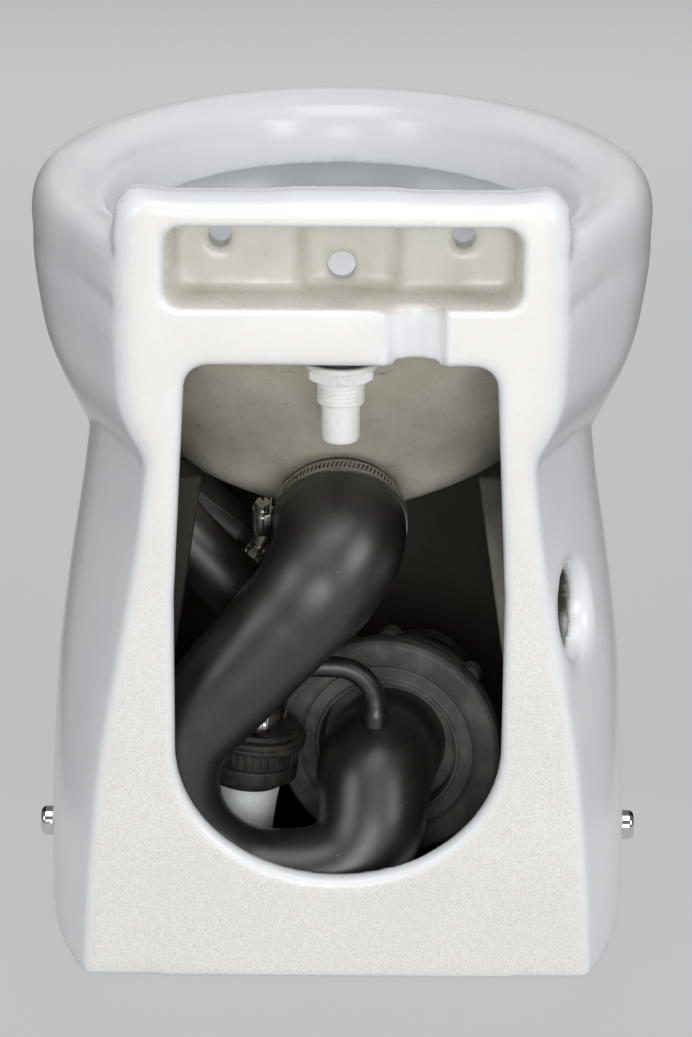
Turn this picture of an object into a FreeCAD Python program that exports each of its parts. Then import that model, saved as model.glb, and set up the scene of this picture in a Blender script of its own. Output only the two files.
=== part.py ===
import FreeCAD, Part
import math
import os
import re

import Sketcher
from FreeCAD import Placement, Rotation, Vector

# Electric marine toilet, in mm. +Z is up, the front is -Y, the origin is on the floor under the middle.
# Points are given as right (towards -X, as seen from behind), depth (forward of the back plane) and height.

SIZES = {
    # pedestal and bowl outside
    "back_plane": 232.5,
    "pedestal_taper": 20.0,
    "bowl_taper": 22.0,
    "pedestal_corner": 5.0,
    "bowl_corner": 16.0,
    "china_wall": 13.0,
    "rear_wall": 12.0,
    "shell_wall": 10.0,
    "cavity_top": 367.5,
    "cavity_half_width": 88.0,
    "cavity_head_depth": 62.0,
    "cavity_head_bottom": 296.0,
    # seat upstand
    "upstand_depth": 64.0,
    "recess_depth": 43.0,
    "recess_floor": 398.5,
    "recess_ceiling": 445.0,
    "recess_half_width": 98.0,
    "recess_middle_depth": 52.0,
    "seat_hole_r": 6.2,
    "seat_hole_offset": 67.2,
    "seat_hole_height": 428.0,
    "middle_hole_r": 8.0,
    "middle_hole_height": 410.0,
    "notch_r": 15.5,
    "notch_offset": 41.0,
    # access aperture
    "aperture_top": 366.0,
    "aperture_corner": 13.0,
    "aperture_half_top": 86.0,
    "aperture_half": 92.3,
    "aperture_mid": 231.0,
    "aperture_arc": 140.0,
    "aperture_bottom": 61.0,
    "aperture_round": 5.0,
    # side holes
    "hose_hole_r": 25.0,
    "hose_hole_depth": 40.0,
    "hose_hole_height": 212.0,
    "cap_depth": 130.0,
    "cap_height": 39.0,
    "cap_hole_r": 3.6,
    "cap_bore_r": 7.5,
    "cap_bore_depth": 6.0,
    # outlet horn
    "horn_depth": 79.0,
    "horn_height": 246.6,
    "horn_drop": 14.0,
    "horn_r": 32.0,
    "horn_bore_r": 25.0,
    "horn_length": 90.0,
    # rinse spigot
    "spigot_depth": 38.0,
    "spigot_hole_r": 14.0,
    "spigot_thread_r": 13.4,
    "spigot_tail_r": 10.8,
    "spigot_bore_r": 8.0,
    "spigot_bottom": 313.5,
    "spigot_shoulder": 335.0,
    "spigot_top": 374.0,
    "spigot_chamfer": 2.0,
    "nut_bottom": 350.0,
    "nut_top": 356.0,
    "nut_flange_top": 359.5,
    "nut_flange_r": 20.5,
    "nut_across_flats": 38.0,
    "nut_bore_r": 13.5,
    "gasket_r": 17.5,
    "waterway_r": 6.0,
    "waterway_height": 377.0,
    # trap boot and hoses
    "boot_r": 28.5,
    "boot_bore_r": 24.0,
    "boot_plane": 42.5,
    "boot_sleeve_r": 38.5,
    "boot_sleeve_bore_r": 32.05,
    "boot_sleeve_length": 25.0,
    "boot_end_r": 34.0,
    "boot_end_bore_r": 25.05,
    "boot_end_length": 36.0,
    "vent_r": 5.7,
    "vent_bore_r": 3.6,
    "hose_r": 18.5,
    "hose_bore_r": 14.05,
    "hose_neck_r": 16.6,
    "hose_neck_length": 16.0,
    # pump, measured along its axis from the cover face
    "pump_right": 29.3,
    "pump_depth": 118.0,
    "pump_height": 93.0,
    "pump_yaw": 12.0,
    "cover_r": 68.5,
    "cover_back": 20.0,
    "cover_back_r": 65.5,
    "recess_r": 41.0,
    "inlet_floor": 15.0,
    "inlet_r": 25.0,
    "inlet_bore_r": 21.0,
    "chamber_r": 46.0,
    "volute_start": 21.5,
    "volute_r": 57.0,
    "volute_back": 56.0,
    "flange_r": 60.0,
    "boss_circle_r": 60.5,
    "boss_r": 7.0,
    "boss_count": 7,
    "boss_lead": 4.0,
    "flange_start": 27.0,
    "flange_end": 34.0,
    "body_r": 54.0,
    "shaft_r": 4.0,
    "shaft_start": 19.5,
    "shaft_end": 118.0,
    "seal_bore_r": 4.05,
    "seal_r": 12.0,
    "blade_start": 21.4,
    "blade_thick": 2.0,
    "plate_start": 24.2,
    "plate_thick": 2.4,
    "plate_r": 45.9,
    "impeller_r": 42.0,
    "bell_start": 56.0,
    "bell_end": 63.0,
    "bell_r": 50.0,
    "can_r": 33.0,
    "can_bore_r": 30.5,
    "can_end": 108.0,
    "armature_r": 23.0,
    "armature_start": 76.0,
    "armature_end": 94.0,
    "commutator_r": 12.0,
    "commutator_end": 102.0,
    "magnet_bore_r": 25.0,
    "magnet_r": 30.4,
    "bearing_r": 11.0,
    "bearing_bore_r": 4.05,
    "bearing_width": 7.0,
    "cap_end": 122.0,
    "foot_plate_z": 6.0,
    "foot_plate_thick": 4.0,
    "foot_pad_r": 9.0,
    "outlet_r": 14.0,
    "outlet_bore_r": 11.0,
    "outlet_tilt": 38.2,
    "outlet_depth": 147.5,
    # check valve, measured up its leaning axis from the floor end
    "valve_right": -66.0,
    "valve_depth": 102.0,
    "valve_bottom": 12.0,
    "valve_lean": 8.0,
    "tail_r": 20.6,
    "tail_spigot_length": 30.0,
    "tail_body_r": 22.2,
    "tail_bore_r": 16.0,
    "tail_length": 75.0,
    "tail_flange_r": 31.0,
    "tail_end": 85.5,
    "collar_r": 30.0,
    "collar_end": 96.0,
    "valve_ring_r": 33.0,
    "valve_ring_end": 104.0,
    "valve_neck_r": 28.0,
    "valve_neck_end": 107.0,
    "valve_spigot_r": 14.0,
    "valve_spigot_bore_r": 11.0,
    "valve_top": 127.0,
    "label_thick": 0.3,
    # worm-drive clips
    "band_thick": 0.8,
    "band_width": 10.0,
    "clip_bore_r": 4.28,
    "clip_screw_r": 4.2,
    "clip_head_r": 5.2,
    # floor brackets and caps
    "bracket_thick": 3.5,
    "bracket_width": 40.0,
    "bracket_height": 60.0,
    "bracket_foot": 44.0,
    "bracket_hole_r": 3.3,
    "screw_r": 2.9,
    "screw_head_r": 5.5,
    "capping_r": 9.0,
    "capping_peg_r": 7.3,
}

doc = FreeCAD.newDocument("marine_toilet")
sheet = doc.addObject("Spreadsheet::Sheet", "Sizes")
for row, (alias, value) in enumerate(SIZES.items(), 1):
    sheet.set("A%d" % row, alias)
    sheet.set("B%d" % row, str(value))
    sheet.setAlias("B%d" % row, alias)
doc.recompute()
UP = Vector(0, 0, 1)


def size(alias):
    return float(sheet.get(alias))


def cells(expression):
    """Turns alias names in an expression into references to the sheet."""
    return re.sub(r"[a-z]\w*", lambda word: "Sizes." + word.group(0), expression)


def point(right, depth, height):
    return Vector(-right, size("back_plane") - depth, height)


def bind(item, **properties):
    for name, expression in properties.items():
        item.setExpression(name, cells(expression))
    return item


def cylinder(name, radius, height, place):
    item = doc.addObject("Part::Cylinder", name)
    bind(item, Radius=radius, Height=height)
    item.Placement = place
    return item


def box(name, length, width, height, place):
    item = doc.addObject("Part::Box", name)
    bind(item, Length=length, Width=width, Height=height)
    item.Placement = place
    return item


def cut(name, base, tool):
    item = doc.addObject("Part::Cut", name)
    item.Base = base
    item.Tool = tool
    return item


def fuse(name, shapes):
    item = doc.addObject("Part::MultiFuse", name)
    item.Shapes = shapes
    return item


def group(name, shapes):
    item = doc.addObject("Part::Compound", name)
    item.Links = shapes
    return item


def moved(place, right=0.0, up=0.0, along=0.0):
    """A placement shifted in its own axes."""
    return place.multiply(Placement(Vector(right, up, along), Rotation()))


def along(start, direction):
    """A placement with its own Z along a direction."""
    return Placement(start, Rotation(UP, direction))


def turned(label, profile, place=Placement()):
    """A body turned about its own Z from (radius, height) aliases; 0 is the axis."""
    body = doc.addObject("PartDesign::Body", label)
    sketch = body.newObject("Sketcher::SketchObject", label + "_profile")
    plane = [f for f in body.Origin.OriginFeatures if f.Role == "XZ_Plane"][0]
    sketch.AttachmentSupport = (plane, [""])
    sketch.MapMode = "FlatFace"
    corners = [Vector(value_of(r), value_of(h), 0) for r, h in profile]
    count = len(corners)
    for i in range(count):
        sketch.addGeometry(Part.LineSegment(corners[i], corners[(i + 1) % count]), False)
    for i in range(count):
        sketch.addConstraint(Sketcher.Constraint("Coincident", i, 2, (i + 1) % count, 1))
    for i, pair in enumerate(profile):
        for kind, term in zip(("DistanceX", "DistanceY"), pair):
            index = sketch.addConstraint(Sketcher.Constraint(kind, -1, 1, i, 1, value_of(term)))
            if isinstance(term, str):
                sketch.setExpression("Constraints[%d]" % index, cells(term))
    turn = body.newObject("PartDesign::Revolution", label + "_turn")
    turn.Profile = sketch
    turn.ReferenceAxis = (sketch, ["V_Axis"])
    turn.Angle = 360
    body.Placement = place
    return body


def value_of(term):
    """The number of a plain value, an alias, or an alias with one value added or taken away."""
    if not isinstance(term, str):
        return float(term)
    words = term.split()
    total = size(words[0])
    if len(words) == 3:
        step = size(words[2]) if words[2][0].isalpha() else float(words[2])
        total += step if words[1] == "+" else -step
    return total


def bent_wire(corners, radii):
    """Straight runs joined by tangent arcs, one radius for each inner corner."""
    edges = []
    start = corners[0]
    for i, radius in enumerate(radii, 1):
        before = (corners[i - 1] - corners[i]).normalize()
        after = (corners[i + 1] - corners[i]).normalize()
        half = before.getAngle(after) / 2
        reach = radius / math.tan(half)
        first = corners[i] + before * reach
        last = corners[i] + after * reach
        middle = (before + after).normalize() * (radius / math.sin(half) - radius) + corners[i]
        edges.append(Part.LineSegment(start, first).toShape())
        edges.append(Part.Arc(first, middle, last).toShape())
        start = last
    edges.append(Part.LineSegment(start, corners[-1]).toShape())
    return Part.Wire(edges)


def rod(name, corners, radii, radius):
    """A round rod swept along a bent wire, checked against section times length."""
    path = doc.addObject("Part::Feature", name + "_path")
    path.Shape = bent_wire(corners, radii)
    ring = doc.addObject("Part::Circle", name + "_ring")
    bind(ring, Radius=radius)
    ring.Placement = along(corners[0], corners[1] - corners[0])
    sweep = doc.addObject("Part::Sweep", name)
    sweep.Sections = [ring]
    sweep.Spine = (path, ["Edge%d" % (n + 1) for n in range(len(path.Shape.Edges))])
    sweep.Solid = True
    sweep.Frenet = False
    doc.recompute()
    expected = math.pi * value_of(radius) ** 2 * path.Shape.Length
    print(name, "radii", radii, "volume share", round(sweep.Shape.Volume / expected, 4))
    return sweep


# China sections: a straight back, tapering flanks and an oval front in each level.


def oval_of(half_back, half_width, tip, slope):
    """The front radius, turn, side width and start depth of the oval that ends at the tip depth."""
    low_front, high_front = 20.0, 500.0
    for _ in range(60):
        front = (low_front + high_front) / 2
        turn = math.atan(slope * front / half_width)
        wide = half_width * math.cos(turn)
        start = (wide - half_back) / slope
        if start + front * (1 + math.sin(turn)) < tip:
            low_front = front
        else:
            high_front = front
    return front, turn, wide, start


def between(rows, step):
    """Rows at even steps in the first column, on a curve that never overshoots the given rows."""
    slopes = []
    for n in range(len(rows)):
        line = []
        for column in range(1, len(rows[0])):
            rises = []
            for a, b in ((n - 1, n), (n, n + 1)):
                if a >= 0 and b < len(rows):
                    rises.append((rows[b][column] - rows[a][column]) / (rows[b][0] - rows[a][0]))
            if len(rises) == 2 and rises[0] * rises[1] <= 0:
                line.append(0.0)
            elif len(rises) == 2:
                line.append(2 * rises[0] * rises[1] / (rises[0] + rises[1]))
            else:
                line.append(rises[0])
        slopes.append(line)
    count = max(2, round((rows[-1][0] - rows[0][0]) / step))
    result = []
    for n in range(count + 1):
        height = rows[0][0] + (rows[-1][0] - rows[0][0]) * n / count
        i = max(k for k in range(len(rows) - 1) if rows[k][0] <= height + 1e-9)
        gap = rows[i + 1][0] - rows[i][0]
        t = (height - rows[i][0]) / gap
        rest = 1 - t
        row = [height]
        for column in range(1, len(rows[0])):
            leaving = (1 + 2 * t) * rows[i][column] + t * gap * slopes[i][column - 1]
            arriving = (1 + 2 * rest) * rows[i + 1][column] - rest * gap * slopes[i + 1][column - 1]
            row.append(rest * rest * leaving + t * t * arriving)
        result.append(tuple(row))
    return result


def level(name, height, half_back, half_width, tip, taper, corner, rear=None):
    """One plan section; without rear the corners run past the back plane so one cut makes it flat."""
    slope = math.tan(math.radians(taper))
    front, turn, wide, start = oval_of(half_back, half_width, tip, slope)
    centre = start + front * math.sin(turn)
    lead = math.radians(15.0) if rear is None else 0.0
    base = 0.0 if rear is None else rear
    angle = math.radians(taper)
    arc_depth = base + corner * math.cos(lead)
    arc_side = half_back + (arc_depth - corner * math.sin(angle)) * slope - corner * math.cos(angle)
    sketch = doc.addObject("Sketcher::SketchObject", name)

    def spot(side, depth):
        return Vector(side, size("back_plane") - depth, 0)

    def on_arc(sign, swing):
        return spot(sign * (arc_side + corner * math.cos(swing)), arc_depth - corner * math.sin(swing))

    steep = math.pi / 2 - lead
    half_way = (angle + steep) / 2
    back = arc_side + corner * math.sin(lead)
    if rear is None:
        over = 8.0
        back_point = (back - over / math.tan(lead), -over)
    else:
        back_point = (back, base)
    oval_centre = spot(0, centre)
    if front >= half_width:
        oval = Part.Ellipse(spot(0, centre + front), spot(half_width, centre), oval_centre)
        span = math.pi / 2 + turn
        arc = Part.ArcOfEllipse(oval, -span, span)
    else:
        oval = Part.Ellipse(spot(half_width, centre), spot(0, centre + front), oval_centre)
        arc = Part.ArcOfEllipse(oval, -turn, math.pi + turn)
    pieces = [arc]
    for sign in (1, -1):
        pieces.append(Part.LineSegment(spot(sign * wide, start), on_arc(sign, angle)))
        pieces.append(Part.Arc(on_arc(sign, angle), on_arc(sign, half_way), on_arc(sign, steep)))
        if rear is None:
            pieces.append(Part.LineSegment(on_arc(sign, steep), spot(sign * back_point[0], back_point[1])))
    pieces.append(Part.LineSegment(spot(-back_point[0], back_point[1]), spot(back_point[0], back_point[1])))
    for piece in pieces:
        sketch.addGeometry(piece, False)
    sketch.Placement = Placement(Vector(0, 0, height), Rotation())
    return sketch


def oval_level(name, height, half_width, rear, front):
    """One elliptical section between a rear and a front depth."""
    item = doc.addObject("Part::Ellipse", name)
    half_length = (front - rear) / 2
    item.MajorRadius = max(half_length, half_width)
    item.MinorRadius = min(half_length, half_width)
    turn = 90 if half_length > half_width else 0
    item.Placement = Placement(point(0, (front + rear) / 2, height), Rotation(UP, turn))
    return item


def loft(name, sections, ruled=False):
    item = doc.addObject("Part::Loft", name)
    item.Sections = sections
    item.Solid = True
    item.Ruled = ruled
    return item


# Pedestal: height, half width at the back, half width, front tip depth.
PEDESTAL = [
    (0.0, 145.5, 171.0, 335.0),
    (20.0, 144.5, 172.5, 335.0),
    (60.0, 142.0, 172.3, 333.0),
    (110.0, 137.0, 170.0, 329.0),
    (152.0, 131.0, 167.5, 325.0),
    (195.0, 123.0, 162.3, 321.0),
    (224.0, 117.5, 158.0, 320.0),
    (254.0, 112.0, 153.0, 320.5),
    (279.0, 108.5, 149.6, 322.0),
    (309.0, 105.0, 146.3, 325.0),
    (335.0, 103.0, 144.5, 328.0),
]
# Bowl outside: height, half width at the back, half width, front tip depth.
BOWL = [
    (223.0, 62.0, 105.0, 308.0),
    (250.0, 74.0, 130.0, 356.0),
    (275.0, 86.0, 147.8, 394.0),
    (304.0, 101.0, 162.5, 427.0),
    (325.0, 113.0, 171.5, 443.0),
    (343.0, 118.5, 178.2, 452.0),
    (379.0, 120.0, 185.0, 463.0),
    (403.0, 120.0, 186.4, 465.0),
]
RIM = [
    (403.0, 120.0, 186.4, 465.0),
    (412.0, 120.0, 186.2, 465.0),
    (420.0, 119.5, 184.4, 463.0),
    (425.5, 118.0, 181.4, 460.0),
    (429.0, 115.0, 176.4, 455.0),
    (430.5, 110.0, 169.0, 447.0),
]
# Water side of the bowl: height, half width, rear depth, front depth.
BASIN = [
    (242.0, 30.0, 158.0, 226.0),
    (247.0, 56.0, 150.0, 262.0),
    (258.0, 88.0, 141.0, 312.0),
    (275.0, 118.0, 128.0, 364.0),
    (304.0, 146.0, 107.0, 410.0),
    (343.0, 163.0, 82.0, 438.0),
    (379.0, 170.5, 68.0, 449.0),
    (408.0, 171.0, 66.0, 450.0),
]


def tapered_stack(name, rows, taper, corner, ruled=False):
    sections = []
    for n, row in enumerate(rows):
        sections.append(level("%s_%d" % (name, n), *row, taper, corner))
    return loft(name, sections, ruled)


pedestal_shape = (size("pedestal_taper"), size("pedestal_corner"))
bowl_shape = (size("bowl_taper"), size("bowl_corner"))
pedestal = tapered_stack("pedestal_outside", between(PEDESTAL, 17.0), *pedestal_shape)
bowl = tapered_stack("bowl_outside", between(BOWL, 15.0), *bowl_shape)
rim = tapered_stack("rim_outside", RIM, *bowl_shape, True)

# Seat upstand: levels across the depth, with raised ears and a low middle hump on top.
UPSTAND = [(-4.0, 14.0, 5.5), (1.5, 10.5, 3.4), (5.0, 5.0, 1.9), (11.0, 1.5, 0.6), (20.0, 0.0, 0.0)]
UPSTAND += [(30.0, 0.0, 1.2), (50.0, 0.0, 5.0), (57.0, 1.0, 7.5), (61.5, 3.5, 10.5), (64.0, 8.0, 15.0)]


def upstand_level(number, depth, inset, drop):
    top = 459.0 - drop
    half = 119.0 - inset
    outline = [(half - 8.0, 350.0), (half + 3.0, 400.0), (half + 6.5, 436.0), (half + 4.0, top - 6.0)]
    outline += [(half - 2.0, top + 0.6), (half - 8.0, top + 2.2), (half - 16.0, top + 1.2)]
    outline += [(half - 26.0, top), (42.0, top), (26.0, top + 1.4)]
    ring = [point(side, depth, height) for side, height in outline]
    ring += [point(-side, depth, height) for side, height in reversed(outline)]
    item = doc.addObject("Part::Feature", "upstand_level_%d" % number)
    item.Shape = Part.makePolygon(ring + ring[:1])
    return item


upstand = loft("upstand_outside", [upstand_level(n, *row) for n, row in enumerate(UPSTAND)], True)
outside = fuse("china_outside", [pedestal, bowl, rim, upstand])
behind = doc.addObject("Part::Box", "behind_back_plane")
behind.Length = 600
behind.Width = 60
behind.Height = 600
behind.Placement.Base = point(300, 0, -50)
china_block = cut("china_block", outside, behind)

# Hollow under the bowl: the pedestal inside and a head behind the basin, less the basin shell.
wall = size("china_wall")
lean = math.cos(math.radians(size("pedestal_taper")))
inside_rows = [(-6.0,) + PEDESTAL[0][1:]] + PEDESTAL[1:-1] + [(325.0,) + PEDESTAL[-1][1:]]
inside_levels = []
for n, (height, half_back, half_width, tip) in enumerate(inside_rows):
    half = half_back - wall / lean
    inside_levels.append(
        level("inside_%d" % n, height, half, half_width - wall, tip - wall,
              size("pedestal_taper"), 10.0, size("rear_wall"))
    )
hollow = loft("pedestal_inside", inside_levels, True)
head_front = size("rear_wall") + size("cavity_head_depth")
head_corner = point(size("cavity_half_width"), head_front, size("cavity_head_bottom"))
head_block = box("cavity_head_block", "cavity_half_width * 2", "cavity_head_depth",
                 "cavity_top - cavity_head_bottom", Placement(head_corner, Rotation()))
doc.recompute()
head = doc.addObject("Part::Fillet", "cavity_head")
head.Base = head_block
rounded = []
for number, edge in enumerate(head_block.Shape.Edges, 1):
    run = edge.Vertexes[1].Point - edge.Vertexes[0].Point
    top_edge = edge.CenterOfMass.z > size("cavity_top") - 1 and abs(run.x) < 1
    if top_edge:
        rounded.append((number, 14.0, 14.0))
head.Edges = rounded
shell_levels = []
basin_rows = between(BASIN, 12.0)
for n, (height, half_width, rear, front) in enumerate(basin_rows):
    grow = size("shell_wall")
    grown = (height - grow, half_width + grow, rear - grow, front + grow)
    shell_levels.append(oval_level("shell_%d" % n, *grown))
shell = loft("basin_shell", shell_levels, True)
hollow_all = fuse("hollow_all", [hollow, head])
hollow_net = cut("hollow_net", hollow_all, shell)
hollowed = cut("china_hollowed", china_block, hollow_net)

# Outlet horn and the two inner gussets.
drop = math.radians(size("horn_drop"))
horn_out = Vector(0, math.cos(drop), -math.sin(drop))
horn_end = point(0, size("horn_depth"), size("horn_height"))
horn_root = horn_end - horn_out * size("horn_length")
horn = cylinder("horn", "horn_r", "horn_length", along(horn_root, horn_out))
basin = loft("basin_water_side", [oval_level("basin_%d" % n, *row) for n, row in enumerate(basin_rows)], True)
horn_trim = cut("horn_outside", horn, basin)
gussets = []
for sign in (1, -1):
    outline = [(79.0, 281.0), (95.0, 172.0), (100.0, 146.0), (139.0, 146.0), (121.0, 281.0)]
    ring = [point(sign * side, 68.0, height) for side, height in outline]
    plate = doc.addObject("Part::Feature", "gusset_%s" % ("right" if sign > 0 else "left"))
    plate.Shape = Part.Face(Part.makePolygon(ring + ring[:1])).extrude(Vector(0, -7.0, 0))
    gussets.append(plate)
china_full = fuse("china_full", [hollowed, horn_trim] + gussets)

# Basin with its hanging rim skirt, and the flared opening in the rim.
SKIRT = [(386.0, 144.0, 5.0, 419.0), (412.0, 150.0, -1.0, 425.0)]
skirt = loft("skirt_outside", [oval_level("skirt_%d" % n, *row) for n, row in enumerate(SKIRT)], True)
basin_net = cut("basin_net", basin, skirt)
OPENING = [(372.0, 136.5, 4.0, 410.0), (386.0, 137.5, 3.0, 411.0), (404.0, 139.0, 0.0, 413.0)]
OPENING += [(416.0, 141.0, -3.0, 416.0), (423.0, 145.0, -8.0, 421.0), (428.0, 153.0, -16.0, 430.0)]
OPENING += [(431.0, 164.0, -28.0, 441.0), (434.0, 176.0, -40.0, 453.0)]
mouth = loft("opening_outside", [oval_level("opening_%d" % n, *row) for n, row in enumerate(OPENING)], True)
behind_mouth = doc.addObject("Part::Box", "behind_opening")
behind_mouth.Length = 500
behind_mouth.Width = 160
behind_mouth.Height = 120
behind_mouth.Placement.Base = point(250, size("upstand_depth"), 360)
opening = cut("opening_net", mouth, behind_mouth)


def slab(name, depth, sides, heights, corner):
    """A rounded rectangle standing across the depth."""
    low, high = heights
    left, right = sides
    corners = [(left, low), (right, low), (right, high), (left, high)]
    edges = []
    for i, (side, height) in enumerate(corners):
        nxt = corners[(i + 1) % 4]
        far = corners[(i + 2) % 4]
        run = Vector(nxt[0] - side, nxt[1] - height, 0).normalize()
        turn = Vector(far[0] - nxt[0], far[1] - nxt[1], 0).normalize()
        first = Vector(side, height, 0) + run * corner
        last = Vector(nxt[0], nxt[1], 0) - run * corner
        bend = Vector(nxt[0], nxt[1], 0) + (turn - run) * corner * (1 - math.sqrt(0.5))
        after = Vector(nxt[0], nxt[1], 0) + turn * corner
        spots = [point(p.x, depth, p.y) for p in (first, last, bend, after)]
        edges.append(Part.LineSegment(spots[0], spots[1]).toShape())
        edges.append(Part.Arc(spots[1], spots[2], spots[3]).toShape())
    item = doc.addObject("Part::Feature", name)
    item.Shape = Part.Wire(edges)
    return item


half = size("recess_half_width")
low = size("recess_floor")
high = size("recess_ceiling")
recess = loft("recess", [
    slab("recess_mouth", -1.0, (-half - 1.0, half + 1.5), (low - 0.5, high + 1.0), 11.0),
    slab("recess_lip", 4.0, (-half + 2.0, half - 0.5), (low, high - 1.5), 10.0),
    slab("recess_back", size("recess_depth"), (-half + 7.0, half - 3.0), (low, high - 5.0), 8.0),
], True)
recess_middle = loft("recess_middle", [
    slab("middle_front", size("recess_depth") - 2.0, (-27.0, 36.0), (low, high - 6.0), 6.0),
    slab("middle_back", size("recess_middle_depth"), (-19.0, 28.0), (low, high - 9.0), 6.0),
], True)


def bore(name, radius, length, start, direction):
    return cylinder(name, radius, length, along(start, direction))


FORWARD = Vector(0, -1, 0)
BACK = Vector(0, 1, 0)
notch = bore("notch", "notch_r", "recess_floor - aperture_top + 12",
             point(size("notch_offset"), 0, size("aperture_top") - 6), UP)
middle_start = point(0, 40, size("middle_hole_height"))
spigot_start = point(0, size("spigot_depth"), size("nut_bottom"))
water_start = point(0, size("spigot_depth"), size("waterway_height"))
holes = [
    bore("middle_hole", "middle_hole_r", "upstand_depth", middle_start, FORWARD),
    bore("spigot_hole", "spigot_hole_r", "spigot_top - nut_bottom + 10", spigot_start, UP),
    bore("waterway", "waterway_r", "upstand_depth - 14", water_start, FORWARD),
    bore("horn_bore", "horn_bore_r", "horn_length + 10", horn_root - horn_out * 5, horn_out),
]
for sign, side in ((1, "right"), (-1, "left")):
    start = point(sign * size("seat_hole_offset"), 30, size("seat_hole_height"))
    holes.append(bore("seat_hole_" + side, "seat_hole_r", "upstand_depth", start, FORWARD))

# Side hose hole on the right flank, square to the flank.
flank = math.radians(size("pedestal_taper"))
flank_out = Vector(-math.cos(flank), math.sin(flank), 0)
hose_centre = point(133.5, size("hose_hole_depth"), size("hose_hole_height"))
hose_start = hose_centre + flank_out * 14
holes.append(bore("hose_hole", "hose_hole_r", "china_wall + 27", hose_start, flank_out * -1))
lip = doc.addObject("Part::Cone", "hose_hole_lip")
bind(lip, Radius1="hose_hole_r + 9", Radius2="hose_hole_r")
lip.Height = 9
lip.Placement = along(hose_centre + flank_out * 4.5, flank_out * -1)
holes.append(lip)

# Fixing holes under the chrome caps.
cap_face = 172.4
for sign, side in ((1, "right"), (-1, "left")):
    inward = Vector(sign, 0, 0)
    start = point(sign * (cap_face + 6), size("cap_depth"), size("cap_height"))
    holes.append(bore("fixing_hole_" + side, "cap_hole_r", "china_wall + 12", start, inward))
    holes.append(bore("fixing_bore_" + side, "cap_bore_r", "cap_bore_depth + 6", start, inward))

# Access aperture: straight top, tapering sides and an oval bottom.
aperture_sketch = doc.addObject("Sketcher::SketchObject", "aperture_outline")
aperture_sketch.Placement = Placement(point(0, -5, 0), Rotation(Vector(1, 0, 0), 90))
top = size("aperture_top")
corner = size("aperture_corner")
near = size("aperture_half_top")
wide = size("aperture_half")
mid = size("aperture_mid")
arc_z = size("aperture_arc")
bottom = size("aperture_bottom")
diagonal = corner * math.sqrt(0.5)
top_left = Vector(-near + corner, top, 0)
top_right = Vector(near - corner, top, 0)
aperture_sketch.addGeometry(Part.LineSegment(top_left, top_right), False)
for sign in (1, -1):
    turn_top = Vector(sign * (near - corner), top, 0)
    turn_mid = Vector(sign * (near - corner + diagonal), top - corner + diagonal, 0)
    turn_end = Vector(sign * near, top - corner, 0)
    aperture_sketch.addGeometry(Part.Arc(turn_top, turn_mid, turn_end), False)
    side_mid = Vector(sign * wide, mid, 0)
    side_low = Vector(sign * wide, arc_z, 0)
    aperture_sketch.addGeometry(Part.LineSegment(turn_end, side_mid), False)
    aperture_sketch.addGeometry(Part.LineSegment(side_mid, side_low), False)
oval = Part.Ellipse(Vector(wide, arc_z, 0), Vector(0, arc_z + arc_z - bottom, 0), Vector(0, arc_z, 0))
aperture_sketch.addGeometry(Part.ArcOfEllipse(oval, math.pi, 2 * math.pi), False)
aperture = doc.addObject("Part::Extrusion", "aperture")
aperture.Base = aperture_sketch
aperture.DirMode = "Custom"
aperture.Dir = FORWARD
aperture.LengthFwd = 18
aperture.Solid = True

tools = fuse("china_cuts", [aperture, opening] + holes)
china_cut_basin = cut("china_cut_basin", china_full, basin_net)
china_sharp = cut("china_sharp", china_cut_basin, tools)
doc.recompute()

# Rounded edge of the aperture on the back plane.
aperture_edges = []
for number, edge in enumerate(china_sharp.Shape.Edges, 1):
    span = edge.BoundBox
    on_back = abs(span.YMin - size("back_plane")) < 0.01 and abs(span.YMax - size("back_plane")) < 0.01
    within_sides = max(-span.XMin, span.XMax) < wide + 1
    if on_back and within_sides and bottom - 1 < span.ZMin and span.ZMax < top + 0.2:
        aperture_edges.append((number, size("aperture_round"), size("aperture_round")))
china_rounded = doc.addObject("Part::Fillet", "china_rounded")
china_rounded.Base = china_sharp
china_rounded.Edges = aperture_edges
cut("china_bowl", china_rounded, fuse("upstand_cuts", [recess, recess_middle, notch]))
doc.recompute()

# Rinse-water spigot hanging from the shelf.
spigot_place = Placement(point(0, size("spigot_depth"), 0), Rotation())
turned("inlet_spigot", [
    ("spigot_bore_r", "spigot_bottom"),
    ("spigot_tail_r - spigot_chamfer", "spigot_bottom"),
    ("spigot_tail_r", "spigot_bottom + spigot_chamfer"),
    ("spigot_tail_r", "spigot_shoulder"),
    ("spigot_thread_r", "spigot_shoulder"),
    ("spigot_thread_r", "spigot_top"),
    ("spigot_bore_r", "spigot_top"),
], spigot_place)
hexagon = doc.addObject("Part::Prism", "nut_hexagon")
hexagon.Polygon = 6
bind(hexagon, Circumradius="nut_across_flats / 1.732", Height="nut_top - nut_bottom")
hexagon.Placement = moved(spigot_place, along=size("nut_bottom"))
flange_place = moved(spigot_place, along=size("nut_top"))
flange = cylinder("nut_flange", "nut_flange_r", "nut_flange_top - nut_top", flange_place)
nut_hole = cylinder("nut_hole", "nut_bore_r", "nut_flange_top - nut_bottom + 4",
                    moved(spigot_place, along=size("nut_bottom") - 2))
cut("inlet_nut", fuse("nut_solid", [hexagon, flange]), nut_hole)
turned("inlet_gasket", [
    ("nut_bore_r", "nut_flange_top"),
    ("gasket_r", "nut_flange_top"),
    ("gasket_r", "cavity_top - 2"),
    ("gasket_r - 2", "cavity_top"),
    ("nut_bore_r", "cavity_top"),
], spigot_place)

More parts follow.
